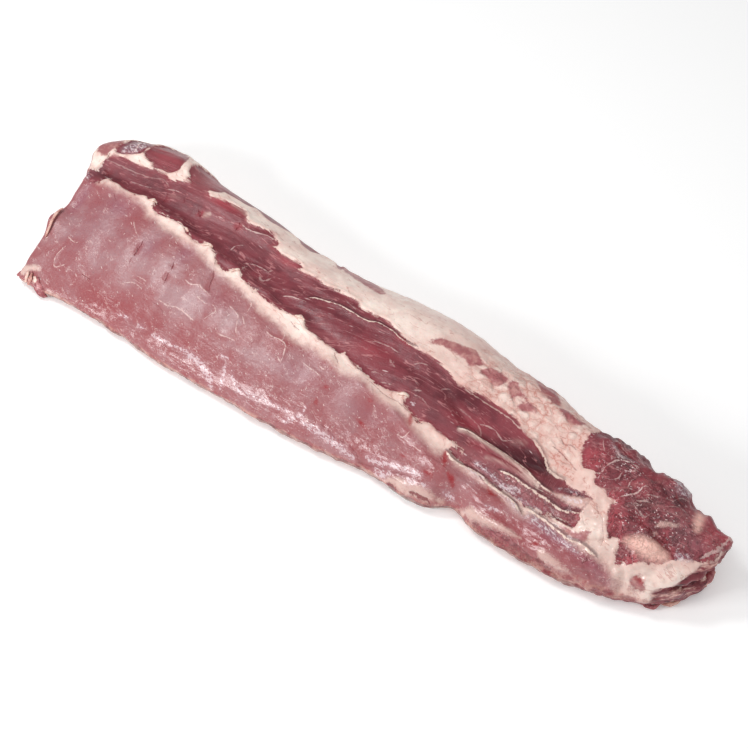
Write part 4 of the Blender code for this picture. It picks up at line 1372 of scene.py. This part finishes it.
    def lay_lines(self) -> None:
        """Draws folds, threads and slits, each broken and wandering, with a painted shadow beside each
        fold.
        """
        lines = self.lines
        wander = self.ragged * 0.5 + (self.patchy - 0.5) * 1.4
        broken = self.kit.noise(lines.broken).step(0.38, 0.58)
        for name, tint, share, rise in (
            ("folds", lines.fold, 0.95, 0.2),
            ("threads", lines.thread, 0.64, 0.1),
            ("more_threads", lines.thread, 0.66, 0.1),
            ("slits", lines.slit, 0.85, -0.35),
        ):
            beside, width, strength = self.kit.parts(name)
            if name == "folds":
                # Painted shadow: a dark band a millimetre or two to one side of each fold.
                fold_shadow = beside.step(0.2, 1.1) * beside.step(3.4, 1.2) * strength
                self.coat.lay(fold_shadow * 0.60, self.lean.deep)
            gap = width * (0.05 + broken * 0.85) - abs(beside + wander)
            line = gap.step(-0.34, 0.22) * width.step(0.02, 0.2) * strength
            self.coat.lay(line * share, tint)
            self.coat.height = self.coat.height + line * rise

    def lay_painted_highlights(self) -> None:
        """Paints highlights: white streaks along the near edge, and a faint painted sheen round them."""
        wet = self.kit.attribute("sheen") + self.ragged * 0.4
        # A faint painted sheen round the painted highlights, on the rib face only.
        painted_sheen = (wet + (self.patchy - 0.5) * 3.0).step(-3.4, 0.6) * self.on_face
        self.coat.lay(painted_sheen * 0.16, self.lines.painted_sheen)
        # The painted highlights themselves: white, broken by ripples.
        ripples = self.kit.noise(self.lines.ripple).step(0.36, 0.60) - 0.55
        self.coat.lay((wet + ripples * 3.0).step(-0.2, 0.9) * 0.62, self.lines.painted_highlight)

    def lay_ends(self) -> None:
        """Lays the layers of the blade end, with painted shade in the gaps between them, and the left end's
        cut face.
        """
        kit = self.kit
        layer, cut, cap = kit.parts("ends")
        streak = kit.noise(self.common.layers, kit.attribute("layers", "Vector"))
        sides = Coat(kit, kit.mix(streak.step(0.50, 0.68), self.lean.mid, self.fat.pink))
        # Painted shade: the darkest streaks stand for the gaps between the layers.
        sides.lay(streak.step(0.43, 0.36), self.lean.deep)
        sides.lay(streak.step(0.62, 0.70), self.fat.shade)
        self.coat.lay(layer, sides.colour)
        marbled = kit.noise(self.common.marbled).step(0.56, 0.72) * 0.6
        eye = kit.mix(marbled, self.face.pink, self.fat.pink)
        rim = (cap + self.ragged * 1.2).step(-0.5, 0.8)
        self.coat.lay(cut, kit.mix(rim, self.bed.colour, eye))

    def build(self) -> bpy.types.Material:
        """Lays what lies on the tissues.

        Returns:
            The loin's material.
        """
        self.lay_patches()
        self.lay_stains()
        self.lay_lines()
        self.lay_painted_highlights()
        self.lay_ends()
        rough = self.coat.roughness + (self.kit.noise(self.common.rough) - 0.5) * 0.36 - self.wet * 0.08
        rough = rough + self.deep * 0.30 + self.kit.attribute("dull") * 0.40
        self.kit.feed(
            Base_Color=self.coat.colour,
            Roughness=rough,
            Normal=self.kit.bump(self.coat.height),
            Coat_Weight=0.03 + self.wet * 0.25,
            Coat_Roughness=0.10,
            Subsurface_Weight=0.08,
            Subsurface_Radius=FLESH_RADIUS,
            Subsurface_Scale=0.003,
            Specular_IOR_Level=0.45,
        )
        return self.kit.material


# ---------------------------------------------------------------- the loin
def select_only(piece: bpy.types.Object) -> None:
    """Selects one object and makes it active.

    Args:
        piece: The object.
    """
    bpy.ops.object.select_all(action="DESELECT")
    piece.select_set(True)
    bpy.context.view_layer.objects.active = piece


def apply_modifier(piece: bpy.types.Object, kind: str, **settings: float) -> None:
    """Adds a modifier to the active piece and applies it.

    Args:
        piece: The piece.
        kind: The modifier's type.
        settings: The modifier's settings by name.
    """
    bpy.ops.object.modifier_add(type=kind)
    modifier = piece.modifiers[-1]
    for name, value in settings.items():
        setattr(modifier, name, value)
    bpy.ops.object.modifier_apply(modifier=modifier.name)


@dataclass
class Loin:
    """The loin itself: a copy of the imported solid, refined and sculpted, with its tissues drawn on."""

    name: str = "loin"
    merge_gap: float = 0.01
    subdivisions: int = 2
    # How far a film and a stain spread, and what is taken off a tissue's distances on hidden sides.
    film_spread: float = 2.4
    stain_spread: float = 3.5
    hidden_depth: float = 24.0
    # How far each feature sinks or rises.
    band_step: float = 1.0
    fat_lip: float = 0.6
    patch_rise: float = 0.8
    membrane_rise: float = 0.6
    lobe_rise: float = 1.1
    blade_rise: float = 3.0
    billow_sink: float = 0.18
    ledge_rise: float = 3.6
    hem_rise: float = 1.3
    # The two cut ends, and the spans over which the blade end's looks set in.
    cut_x: float = -284.0
    blade_x: float = 252.0
    rim_thickness: float = 6.0
    wet_span: Place = (170.0, 195.0)
    billow_span: Place = (176.0, 200.0)
    blade_slant: float = 0.4
    layer_scale: Point = (0.08, 0.08, 0.36)
    layer_tilt: float = 0.03
    # The lean's flow: the top of its fan, and how fast its pattern runs before and past the bend.
    flow_top: Line = ((-290, 46), (-150, 48), (-100, 31), (-30, 20), (50, 4), (130, -13), (200, -39))
    flow_span: Place = (160.0, 190.0)
    flow_bend: float = 175.0
    flow_slow: float = 0.09
    flow_fast: float = 0.25
    fan_width: float = 26.0
    roll: Lumps = Lumps((26.0, 20.0, 26.0), 3.1, 0.5)
    pores: Lumps = Lumps((6.0, 6.0, 6.0), 7.7, 0.16)
    fibres: Lumps = Lumps((30.0, 3.6, 6.0), 11.3, 0.35)
    waves: Lumps = Lumps((16.0, 6.0, 6.0), 13.3, 0.8)
    ripples: Lumps = Lumps((5.0, 3.0, 3.0), 19.3, 0.4)
    lobes: tuple[Lumps, ...] = (Lumps((9.0, 6.0, 6.0), 17.9), Lumps((4.5, 3.2, 3.2), 23.1, 0.5))
    frays: tuple[Lumps, ...] = (Lumps((11.0, 8.0, 5.0), 71.3), Lumps((4.5, 4.0, 3.0), 77.9, 0.6))
    ledges: tuple[Lumps, ...] = (Lumps((34.0, 26.0, 4.2), 53.9), Lumps((11.0, 8.0, 2.6), 61.1, 0.6))
    billows: tuple[Lumps, ...] = (
        Lumps((26.0, 17.0, 17.0), 31.7, 1.6),
        Lumps((11.0, 11.0, 11.0), 41.3),
        Lumps((5.0, 5.0, 5.0), 47.1, 0.5),
    )
    fields: dict[str, np.ndarray] = field(default_factory=dict)

    def blank(self) -> bpy.types.Object:
        """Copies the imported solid, merges its loose triangles and subdivides it.

        Returns:
            The piece before it is sculpted.
        """
        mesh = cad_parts[NODE].data.copy()
        mesh.materials.clear()
        piece = bpy.data.objects.new(self.name, mesh)
        bpy.context.scene.collection.objects.link(piece)
        select_only(piece)
        bpy.ops.object.mode_set(mode="EDIT")
        bpy.ops.mesh.select_all(action="SELECT")
        bpy.ops.mesh.remove_doubles(threshold=self.merge_gap * MM)
        bpy.ops.mesh.tris_convert_to_quads(face_threshold=math.pi, shape_threshold=math.pi)
        bpy.ops.object.mode_set(mode="OBJECT")
        bpy.ops.mesh.customdata_custom_splitnormals_clear()
        apply_modifier(piece, "SUBSURF", levels=self.subdivisions, render_levels=self.subdivisions)
        bpy.ops.object.shade_smooth()
        return piece

    def measure_tissues(self, at: Surface) -> None:
        """Works out how far the vertices lie inside each tissue.

        Args:
            at: The loin's surface.
        """
        plan = at.plan
        hidden = self.hidden_depth * ease(0.10, -0.35, at.to_top)
        near = ease(-0.20, -0.50, at.to_back)
        face = plan.patch(SEAM_FOOT + FACE_REST) - hidden
        low_near = ease(-0.15, -0.45, at.to_back) * ease(-50.0, -44.0, at.y)
        self.fields |= {
            "lean": plan.patches((SEAM_TOP + BAND_FOLDS + BAND_TOP, BLADE) + LEAN_ROLLS) - hidden,
            "face": face - plan.reach * ease(5.0, 1.0, at.z) * (1.0 - near),
            "hem": near * ease(0.62, -0.30, at.to_top) * ease(26.0, 14.0, at.z),
            "sheen": np.maximum(plan.trickles(SHEENS), plan.patches(PAINTED_HIGHLIGHT_PATCHES)) - hidden,
            "dull": low_near * ease(50.0, 80.0, at.x),
            "islands": plan.patches(LEAN_ISLANDS) - hidden,
            "rind": plan.patches(FAT_PATCHES),
            "bone": plan.patches(PALE_BEDS),
            "silver": plan.patches(MEMBRANES),
            "blood": plan.trickles(BLOOD),
        }

    def measure_lines(self, plan: Ruler) -> None:
        """Works out how far the vertices lie from each kind of line.

        Args:
            plan: The vertices seen from above.
        """
        self.fields["threads"] = plan.strands(THREADS)
        self.fields["more_threads"] = plan.strands(MORE_THREADS)
        self.fields["folds"] = plan.strands(FOLDS)
        self.fields["films"] = plan.halo(FILMS, self.film_spread)
        self.fields["slits"] = plan.strands(SLITS)

    def measure_tints(self, at: Surface) -> None:
        """Works out where the loin is redder, purpler, paler, deeper, lobed and wet.

        Args:
            at: The loin's surface.
        """
        tints = [at.plan.blush(ovals) for ovals in (REDDER, PURPLER, PALER)]
        tints[0] = np.maximum(tints[0], 0.6 * at.plan.halo(SLITS + BLOOD, self.stain_spread))
        self.fields["tints"] = np.column_stack(tints)
        lobed = ease(-10.0, 110.0, at.x) * (1.0 - 0.7 * ease(-44.0, -56.0, at.y))
        lobed *= 1.0 - 0.35 * ease(172.0, 188.0, at.x)
        facing = 1.0 - 0.8 * ease(0.0, 0.5, at.to_back)
        blade = ease(*self.wet_span, at.x + self.blade_slant * at.y) * 0.8 * facing
        shoulder = ease(-0.30, -0.60, at.to_back) * ease(3.0, 8.0, at.z)
        shoulder *= ease(-270.0, -240.0, at.x) * ease(-52.0, -62.0, at.y)
        folded = 0.6 * ease(86.0, 116.0, at.x) * ease(-42.0, -50.0, at.y) * ease(0.1, 0.4, at.to_top)
        wet = np.clip(blade + np.maximum(0.8 * shoulder, folded), 0.0, 1.0)
        self.fields["shades"] = np.column_stack([at.plan.blush(DEEPER), lobed, wet])

    def measure_flow(self, at: Surface) -> None:
        """Works out how the lean's fibres run: along the band, and in a fan away from its top.

        Args:
            at: The loin's surface.
        """
        top = np.interp(at.x, *np.transpose(self.flow_top))
        fan = 0.45 * ease(-150.0, 30.0, at.x) + 0.55 * ease(-90.0, 110.0, at.x)
        across = self.fan_width * (np.log1p(np.clip(top - at.y, -12.0, 60.0) / 16.0) + 1.6 * fan)
        past = at.x - self.flow_bend
        slope = np.where(past < 0.0, self.flow_slow, self.flow_fast)
        along = self.flow_bend * self.flow_slow + past * slope
        blend = ease(*self.flow_span, at.x)
        across = across * (1.0 - blend) + at.y * blend
        self.fields["flow"] = np.column_stack([along, across, at.z * 0.7])

    def measure_ends(self, at: Surface) -> None:
        """Works out the blade end's layers and the left end's cut face with its rim of fat.

        Args:
            at: The loin's surface.
        """
        layer = ease(0.45, 0.75, at.to_right) * ease(self.blade_x, self.blade_x + 14.0, at.x)
        low_right = ease(196.0, 250.0, at.x) * ease(26.0, 18.0, at.z) * ease(0.3, -0.2, at.to_top)
        layer = np.maximum(layer * ease(44.0, 40.0, at.z), low_right)
        cut = ease(-0.55, -0.8, at.to_right) * ease(self.cut_x, self.cut_x - 5.0, at.x)
        far = np.max(at.y[at.x < self.cut_x])
        rim = np.minimum(at.z - 0.7 * self.rim_thickness, far - self.rim_thickness - at.y)
        self.fields["ends"] = np.column_stack([layer, cut, rim])
        layers = at.places * self.layer_scale
        layers[:, 2] += self.layer_tilt * at.y
        self.fields["layers"] = layers

    def top_relief(self, at: Surface, blade: np.ndarray) -> np.ndarray:
        """Sculpts what is seen from above.

        Args:
            at: The loin's surface.
            blade: 1 at the blade end, 0 elsewhere.

        Returns:
            The height at each vertex.
        """
        lean, (_, lobed, wet) = self.fields["lean"], self.fields["shades"].T
        in_lean = ease(-0.6, 1.0, lean)
        on_face = ease(-1.0, 4.0, self.fields["face"])
        on_fat = (1.0 - in_lean) * (1.0 - on_face)
        height = -self.band_step * in_lean * (1.0 - blade)
        height += self.fat_lip * bell(lean + 1.6, 1.5) * on_fat
        height += at.plan.relief(THREADS) + at.plan.relief(MORE_THREADS)
        height += at.plan.relief(FOLDS, 1.6) + at.plan.relief(SLITS, 0.9) + at.plan.relief(FILMS)
        height += self.patch_rise * ease(-1.0, 2.0, self.fields["rind"])
        height += self.membrane_rise * ease(-1.0, 2.0, self.fields["silver"])
        height += on_face * self.roll.at(at.places) + self.pores.at(at.places)
        height += wet * (1.0 - blade) * lumpy(at.places, self.waves, self.ripples)
        height += in_lean * self.fibres.at(at.places)
        height += self.lobe_rise * on_fat * (0.35 + 0.65 * lobed) * lumpy(at.places, *self.lobes)
        return height

    def sculpted(self, at: Surface) -> np.ndarray:
        """Sculpts the fine relief.

        Args:
            at: The loin's surface.

        Returns:
            The height at each vertex.
        """
        blade = ease(*self.billow_span, at.x + self.blade_slant * at.y)
        height = self.top_relief(at, blade)
        billows = sum(np.abs(layer.at(at.places)) - layer.rise * self.billow_sink for layer in self.billows)
        smooth = 1.0 - 0.8 * ease(-4.0, 1.0, self.fields["bone"])
        height += self.blade_rise * blade * billows * ease(0.5, 6.0, at.z) * smooth
        height *= ease(-0.5, 0.1, at.to_top) * ease(0.2, 3.0, at.z)
        frayed = lumpy(at.places, *self.frays)
        height += self.hem_rise * self.fields["hem"] * frayed * ease(0.5, 4.0, at.z)
        ledges = lumpy(at.places, *self.ledges)
        height += self.ledge_rise * self.fields["ends"][:, 0] * ledges * ease(0.5, 5.0, at.z)
        return height

    def dress(self, piece: bpy.types.Object) -> None:
        """Stores the distances on the mesh and gives it its material.

        Args:
            piece: The loin.
        """
        for name, values in self.fields.items():
            kind, key = ("FLOAT", "value") if values.ndim == 1 else ("FLOAT_VECTOR", "vector")
            attribute = piece.data.attributes.new(name, kind, "POINT")
            attribute.data.foreach_set(key, values.astype(np.float32).ravel())
        finishes = FatFinish(), FaceFinish(), LeanFinish(), LineFinish(), CommonGrains()
        piece.data.materials.append(LoinMaterial(*finishes).build())

    def build(self) -> bpy.types.Object:
        """Makes the whole piece.

        Returns:
            The loin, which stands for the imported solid.
        """
        piece = self.blank()
        surface = Surface(piece.data)
        self.measure_tissues(surface)
        self.measure_lines(surface.plan)
        self.measure_tints(surface)
        self.measure_flow(surface)
        self.measure_ends(surface)
        surface.raise_by(self.sculpted(surface))
        self.dress(piece)
        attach(piece, BODY)
        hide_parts(NODE)
        return piece


# ---------------------------------------------------------------- loose scraps
@dataclass(frozen=True)
class ScrapFinish:
    """The two tints that a scrap is mottled with, its roughness and its patterns."""

    base: Tint
    mottle: Tint
    roughness: float = 0.34
    cloud: Grain = Grain(4.0, 3.0, 0.6)
    fine: Grain = Grain(1.3, 3.0, 0.6)

    def build(self, name: str) -> bpy.types.Material:
        """Makes a scrap's material.

        Args:
            name: The material's name.

        Returns:
            The material.
        """
        kit = Shader(name)
        fine = kit.noise(self.fine)
        kit.feed(
            Base_Color=kit.mix(kit.noise(self.cloud).step(0.42, 0.60), self.base, self.mottle),
            Roughness=self.roughness + (fine - 0.5) * 0.3,
            Normal=kit.bump(fine * 0.4),
            Coat_Weight=0.15,
            Coat_Roughness=0.12,
            Subsurface_Weight=0.08,
            Subsurface_Radius=FLESH_RADIUS,
            Subsurface_Scale=0.002,
        )
        return kit.material


class Tissue(Enum):
    """What a loose scrap is made of."""

    SKIN = ScrapFinish((188, 128, 118), (222, 178, 164))
    FAT = ScrapFinish((240, 216, 202), (224, 182, 170))
    LEAN = ScrapFinish((140, 62, 70), (178, 108, 110))
    MEMBRANE = ScrapFinish((196, 188, 184), (226, 220, 216))


@dataclass(frozen=True)
class Scrap:
    """A thin scrap of tissue that follows a spine and spreads to both sides of it.

    A spine's third number is its height above the loin for a scrap that lies on it, else above the
    ground.
    """

    name: str
    tissue: Tissue
    spine: tuple[Point, ...]
    half_widths: tuple[float, ...]
    across: Point
    thickness: float = 1.2
    curl: float = 0.3
    lies_on: bool = False
    cells_along: int = 12
    cells_across: int = 4
    ray_height: float = 200.0
    ragged: Lumps = Lumps((2.4, 2.4, 2.4), 9.1, 0.5)
    wavy: Lumps = Lumps((3.0, 3.0, 3.0), 5.3, 0.6)

    def laid(self, loin: bpy.types.Object) -> np.ndarray:
        """Lays the spine on the loin, where the scrap lies on it.

        Args:
            loin: The finished loin.

        Returns:
            The spine's smooth curve, one row for each point.
        """
        rows = np.array(self.spine, float)
        if self.lies_on:
            for row in rows:
                start = Vector((row[0] * MM, row[1] * MM, self.ray_height * MM))
                _, place, _, _ = loin.ray_cast(start, Vector((0.0, 0.0, -1.0)))
                row[2] += place.z / MM
        return smooth_line(rows)

    def spread(self, grid: np.ndarray, spine: np.ndarray) -> np.ndarray:
        """Spreads a flat grid along the spine, and curls it.

        Args:
            grid: The grid's vertices, from -1 to 1 along and across.
            spine: The spine's smooth curve.

        Returns:
            The vertices' places.
        """
        steps = np.linalg.norm(np.diff(spine, axis=0), axis=1)
        run = np.concatenate([[0.0], np.cumsum(steps)])
        at, side = (grid[:, 0] + 1.0) / 2.0 * run[-1], grid[:, 1]
        middle = np.column_stack([np.interp(at, run, spine[:, axis]) for axis in range(3)])
        knots = np.linspace(0.0, run[-1], len(self.half_widths))
        width = np.interp(at, knots, self.half_widths) * (1.0 + self.ragged.at(middle))
        across = np.array(self.across) / np.linalg.norm(self.across)
        lift = np.cross(spine[-1] - spine[0], across)
        lift /= np.linalg.norm(lift)
        bend = self.curl * side**2 + self.wavy.at(middle + side[:, None] * 3.0)
        return middle + across * (width * side)[:, None] + lift * bend[:, None]

    def build(self, loin: bpy.types.Object) -> bpy.types.Object:
        """Makes the scrap.

        Args:
            loin: The finished loin.

        Returns:
            The scrap, closed and smooth.
        """
        bpy.ops.object.select_all(action="DESELECT")
        bpy.ops.mesh.primitive_grid_add(
            x_subdivisions=self.cells_along, y_subdivisions=self.cells_across, size=2.0
        )
        piece = bpy.context.object
        piece.name = self.name
        grid = np.array([vertex.co[:] for vertex in piece.data.vertices])
        places = self.spread(grid, self.laid(loin))
        piece.data.vertices.foreach_set("co", (places * MM).ravel())
        piece.data.update()
        apply_modifier(piece, "SOLIDIFY", thickness=self.thickness * MM, offset=0.0)
        apply_modifier(piece, "SUBSURF", levels=1, render_levels=1)
        bpy.ops.object.mode_set(mode="EDIT")
        bpy.ops.mesh.select_all(action="SELECT")
        bpy.ops.mesh.normals_make_consistent(inside=False)
        bpy.ops.object.mode_set(mode="OBJECT")
        bpy.ops.object.shade_smooth()
        piece.data.materials.append(self.tissue.value.build(self.name))
        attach(piece, BODY)
        return piece


def seam_flake(letter: str, root: float, middle: float, *spine: Point) -> Scrap:
    """Describes a thin flake of fat that lies on the seam and narrows to a tip.

    Args:
        letter: Which flake it is.
        root: Its half width at its root.
        middle: Its half width in the middle.
        spine: The places along it, with their height above the seam.

    Returns:
        The flake.
    """
    name, half_widths, across = f"seam_flake_{letter}", (root, middle, 0.4), (0.3, -1.0, 0.1)
    return Scrap(name, Tissue.FAT, spine, half_widths, across, 0.9, lies_on=True)


# The scraps at the left end, along the near edge and at the blade end, then the flakes on the seam.
SCRAPS: tuple[Scrap, ...] = (
    Scrap("left_curl", Tissue.SKIN, ((-289.6, -12, 30.5), (-291.4, -17, 29), (-290.6, -24, 27.6),
          (-289.2, -31, 25), (-288, -38, 21.5)), (0.4, 1.9, 2.2, 1.6, 0.4), (0.65, -0.2, 0.5), 1.3, 0.5),
    Scrap("corner_nub", Tissue.LEAN, ((-286, -67.6, 11), (-288, -69.4, 9.6), (-290.6, -73, 7.4)),
          (1.2, 2.0, 0.9), (0.7, -0.6, 0.2), 2.0),
    Scrap("corner_fold_upper", Tissue.FAT, ((-283, -67.2, 12.6), (-281.6, -71.4, 11.2), (-281, -74.6, 7)),
          (0.6, 1.4, 0.9), (1.0, 0.2, 0.2), 1.4, 0.5),
    Scrap("corner_fold_lower", Tissue.SKIN, ((-279.6, -67.6, 12.8), (-277.6, -72.4, 11.2),
          (-277.4, -75.6, 7)), (0.6, 1.6, 1.0), (1.0, 0.2, 0.2), 1.4, 0.5),
    Scrap("corner_strip", Tissue.LEAN, ((-273.6, -68.8, 12.4), (-270.6, -72.6, 10.6), (-266.6, -75.4, 7.4),
          (-263, -76.2, 4.4), (-261.6, -74.6, 2.4)), (1.4, 2.8, 3.2, 3.0, 1.4), (0.8, 0.5, 0.35),
          2.2, -0.6),
    Scrap("corner_tip", Tissue.FAT, ((-275.4, -69.4, 12.8), (-273, -71.6, 11.8), (-272, -73, 10.4)),
          (1.0, 1.8, 0.8), (0.9, 0.4, 0.3), 1.2),
    Scrap("grey_skin", Tissue.MEMBRANE, ((60, -80.6, 1.4), (70, -80.4, 0.9), (80, -79.2, 0.8),
          (91, -77.4, 0.8), (101, -73, 0.9), (107, -68.4, 1.4)), (0.8, 2.6, 4.4, 4.6, 3.4, 0.8),
          (0.15, -1.0, 0.0), 0.8, 0.0),
    Scrap("slab_lip", Tissue.LEAN, ((296, -24, 19), (297, -30, 15.6), (292.4, -38, 12.4),
          (286.6, -45.6, 9.6)), (1.0, 3.4, 3.2, 1.0), (0.8, -0.5, -0.25), 2.4, -0.4),
    Scrap("slab_lip_rim", Tissue.SKIN, ((298, -26, 17.2), (298.6, -31.6, 13.6), (294.6, -39.6, 10.8)),
          (0.4, 1.0, 0.4), (0.8, -0.5, -0.25), 1.0),
    Scrap("end_shred", Tissue.LEAN, ((261, -69, 7), (267, -69.8, 4.6), (273, -66.8, 2.4), (276, -62, 4)),
          (0.8, 1.6, 1.9, 0.5), (0.3, -0.8, -0.35), 1.4),
    Scrap("end_shred_far", Tissue.SKIN, ((275.6, -62.6, 4.4), (281, -59.6, 3.4), (285.4, -54.6, 4.6),
          (286.6, -48.6, 8)), (0.5, 1.9, 1.4, 0.6), (0.6, -0.7, -0.3), 1.3),
    seam_flake("a", 1.0, 1.6, (-228, 20.6, 0.4), (-224.6, 22.6, 0.9), (-221.6, 22.4, 1.0)),
    seam_flake("b", 0.8, 1.7, (-190, 11.4, 0.3), (-186.4, 12.4, 0.8), (-182.6, 10.4, 0.9)),
    seam_flake("c", 0.8, 1.8, (-166, 5, 0.3), (-161, 7.6, 0.8), (-157.6, 7.8, 0.9)),
    seam_flake("d", 1.0, 1.5, (-132, -4.6, 0.3), (-128.6, -2, 0.9), (-126, -0.6, 1.0)),
    seam_flake("e", 0.8, 1.6, (-66, -15.4, 0.3), (-61.6, -13, 0.9), (-57.6, -14.6, 1.0)),
    seam_flake("f", 0.8, 1.7, (36, -33, 0.3), (41, -30.6, 0.9), (45.4, -30.4, 1.0)),
)


# ---------------------------------------------------------------- the studio
@dataclass(frozen=True)
class Softbox:
    """A rectangular studio light: where it stands, its sides in metres and its power in watts."""

    name: str
    place: Point
    width: float
    depth: float
    power: float


@dataclass
class Studio:
    """A pale floor, soft light and the camera, in metres, but the floor's drop and the lens in mm."""

    floor_side: float = 8.0
    floor_drop: float = 0.3
    white: Tint = (255, 255, 255)
    floor_glow: float = 0.12
    sky_strength: float = 0.40
    azimuth: float = 33.0
    elevation: float = 52.0
    distance: float = 1.737779
    aim: Point = (-0.006478, 0.002140, 0.0)
    lens: float = 110.0
    sensor: float = 36.0
    softboxes: tuple[Softbox, ...] = (
        Softbox("key", (-0.60, -0.98, 0.66), 0.45, 0.32, 8.0),
        Softbox("fill", (0.60, -0.30, 1.40), 1.30, 1.30, 6.5),
        Softbox("top", (-0.68, -0.12, 1.15), 0.25, 0.25, 4.5),
    )

    def floor(self) -> None:
        """Lays the floor just under the loin."""
        bpy.ops.mesh.primitive_plane_add(size=self.floor_side, location=(0.0, 0.0, -self.floor_drop * MM))
        floor = bpy.context.object
        floor.name = "floor"
        kit = Shader("pale_floor")
        white = linear(self.white)
        kit.feed(Base_Color=white, Roughness=0.9, Specular_IOR_Level=0.1)
        kit.feed(Emission_Color=white, Emission_Strength=self.floor_glow)
        floor.data.materials.append(kit.material)

    def light(self) -> None:
        """Hangs the softboxes and lights the sky."""
        for box in self.softboxes:
            bpy.ops.object.light_add(type="AREA", location=box.place)
            lamp = bpy.context.object
            lamp.name = box.name
            lamp.data.shape = "RECTANGLE"
            lamp.data.size = box.width
            lamp.data.size_y = box.depth
            lamp.data.energy = box.power
            lamp.rotation_euler = (-Vector(box.place)).to_track_quat("-Z", "Y").to_euler()
        world = bpy.data.worlds.new("sky")
        world.use_nodes = True
        background = world.node_tree.nodes["Background"]
        background.inputs["Color"].default_value = linear(self.white)
        background.inputs["Strength"].default_value = self.sky_strength
        bpy.context.scene.world = world

    def camera(self) -> None:
        """Sets the camera at the photograph's viewing angle."""
        turn, tilt = math.radians(self.azimuth), math.radians(self.elevation)
        back = Vector((math.sin(turn) * math.cos(tilt), -math.cos(turn) * math.cos(tilt), math.sin(tilt)))
        bpy.ops.object.camera_add(location=Vector(self.aim) + back * self.distance)
        camera = bpy.context.object
        camera.rotation_euler = (-back).to_track_quat("-Z", "Y").to_euler()
        camera.data.lens = self.lens
        camera.data.sensor_width = self.sensor
        bpy.context.scene.camera = camera
        bpy.context.scene.view_settings.view_transform = "Standard"

    def build(self) -> None:
        """Sets up floor, light and camera."""
        bpy.ops.object.select_all(action="DESELECT")
        self.floor()
        self.light()
        self.camera()


def main() -> None:
    """Builds the studio, the loin and its scraps, and reports each piece."""
    logging.basicConfig(level=logging.INFO, format="%(name)s: %(message)s")
    Studio().build()
    log.info("studio is set")
    loin = Loin().build()
    bpy.context.view_layer.update()
    for piece in [loin] + [scrap.build(loin) for scrap in SCRAPS]:
        piece.data.calc_loop_triangles()
        log.info("%s has %d triangles", piece.name, len(piece.data.loop_triangles))


if __name__ == "__main__":
    main()
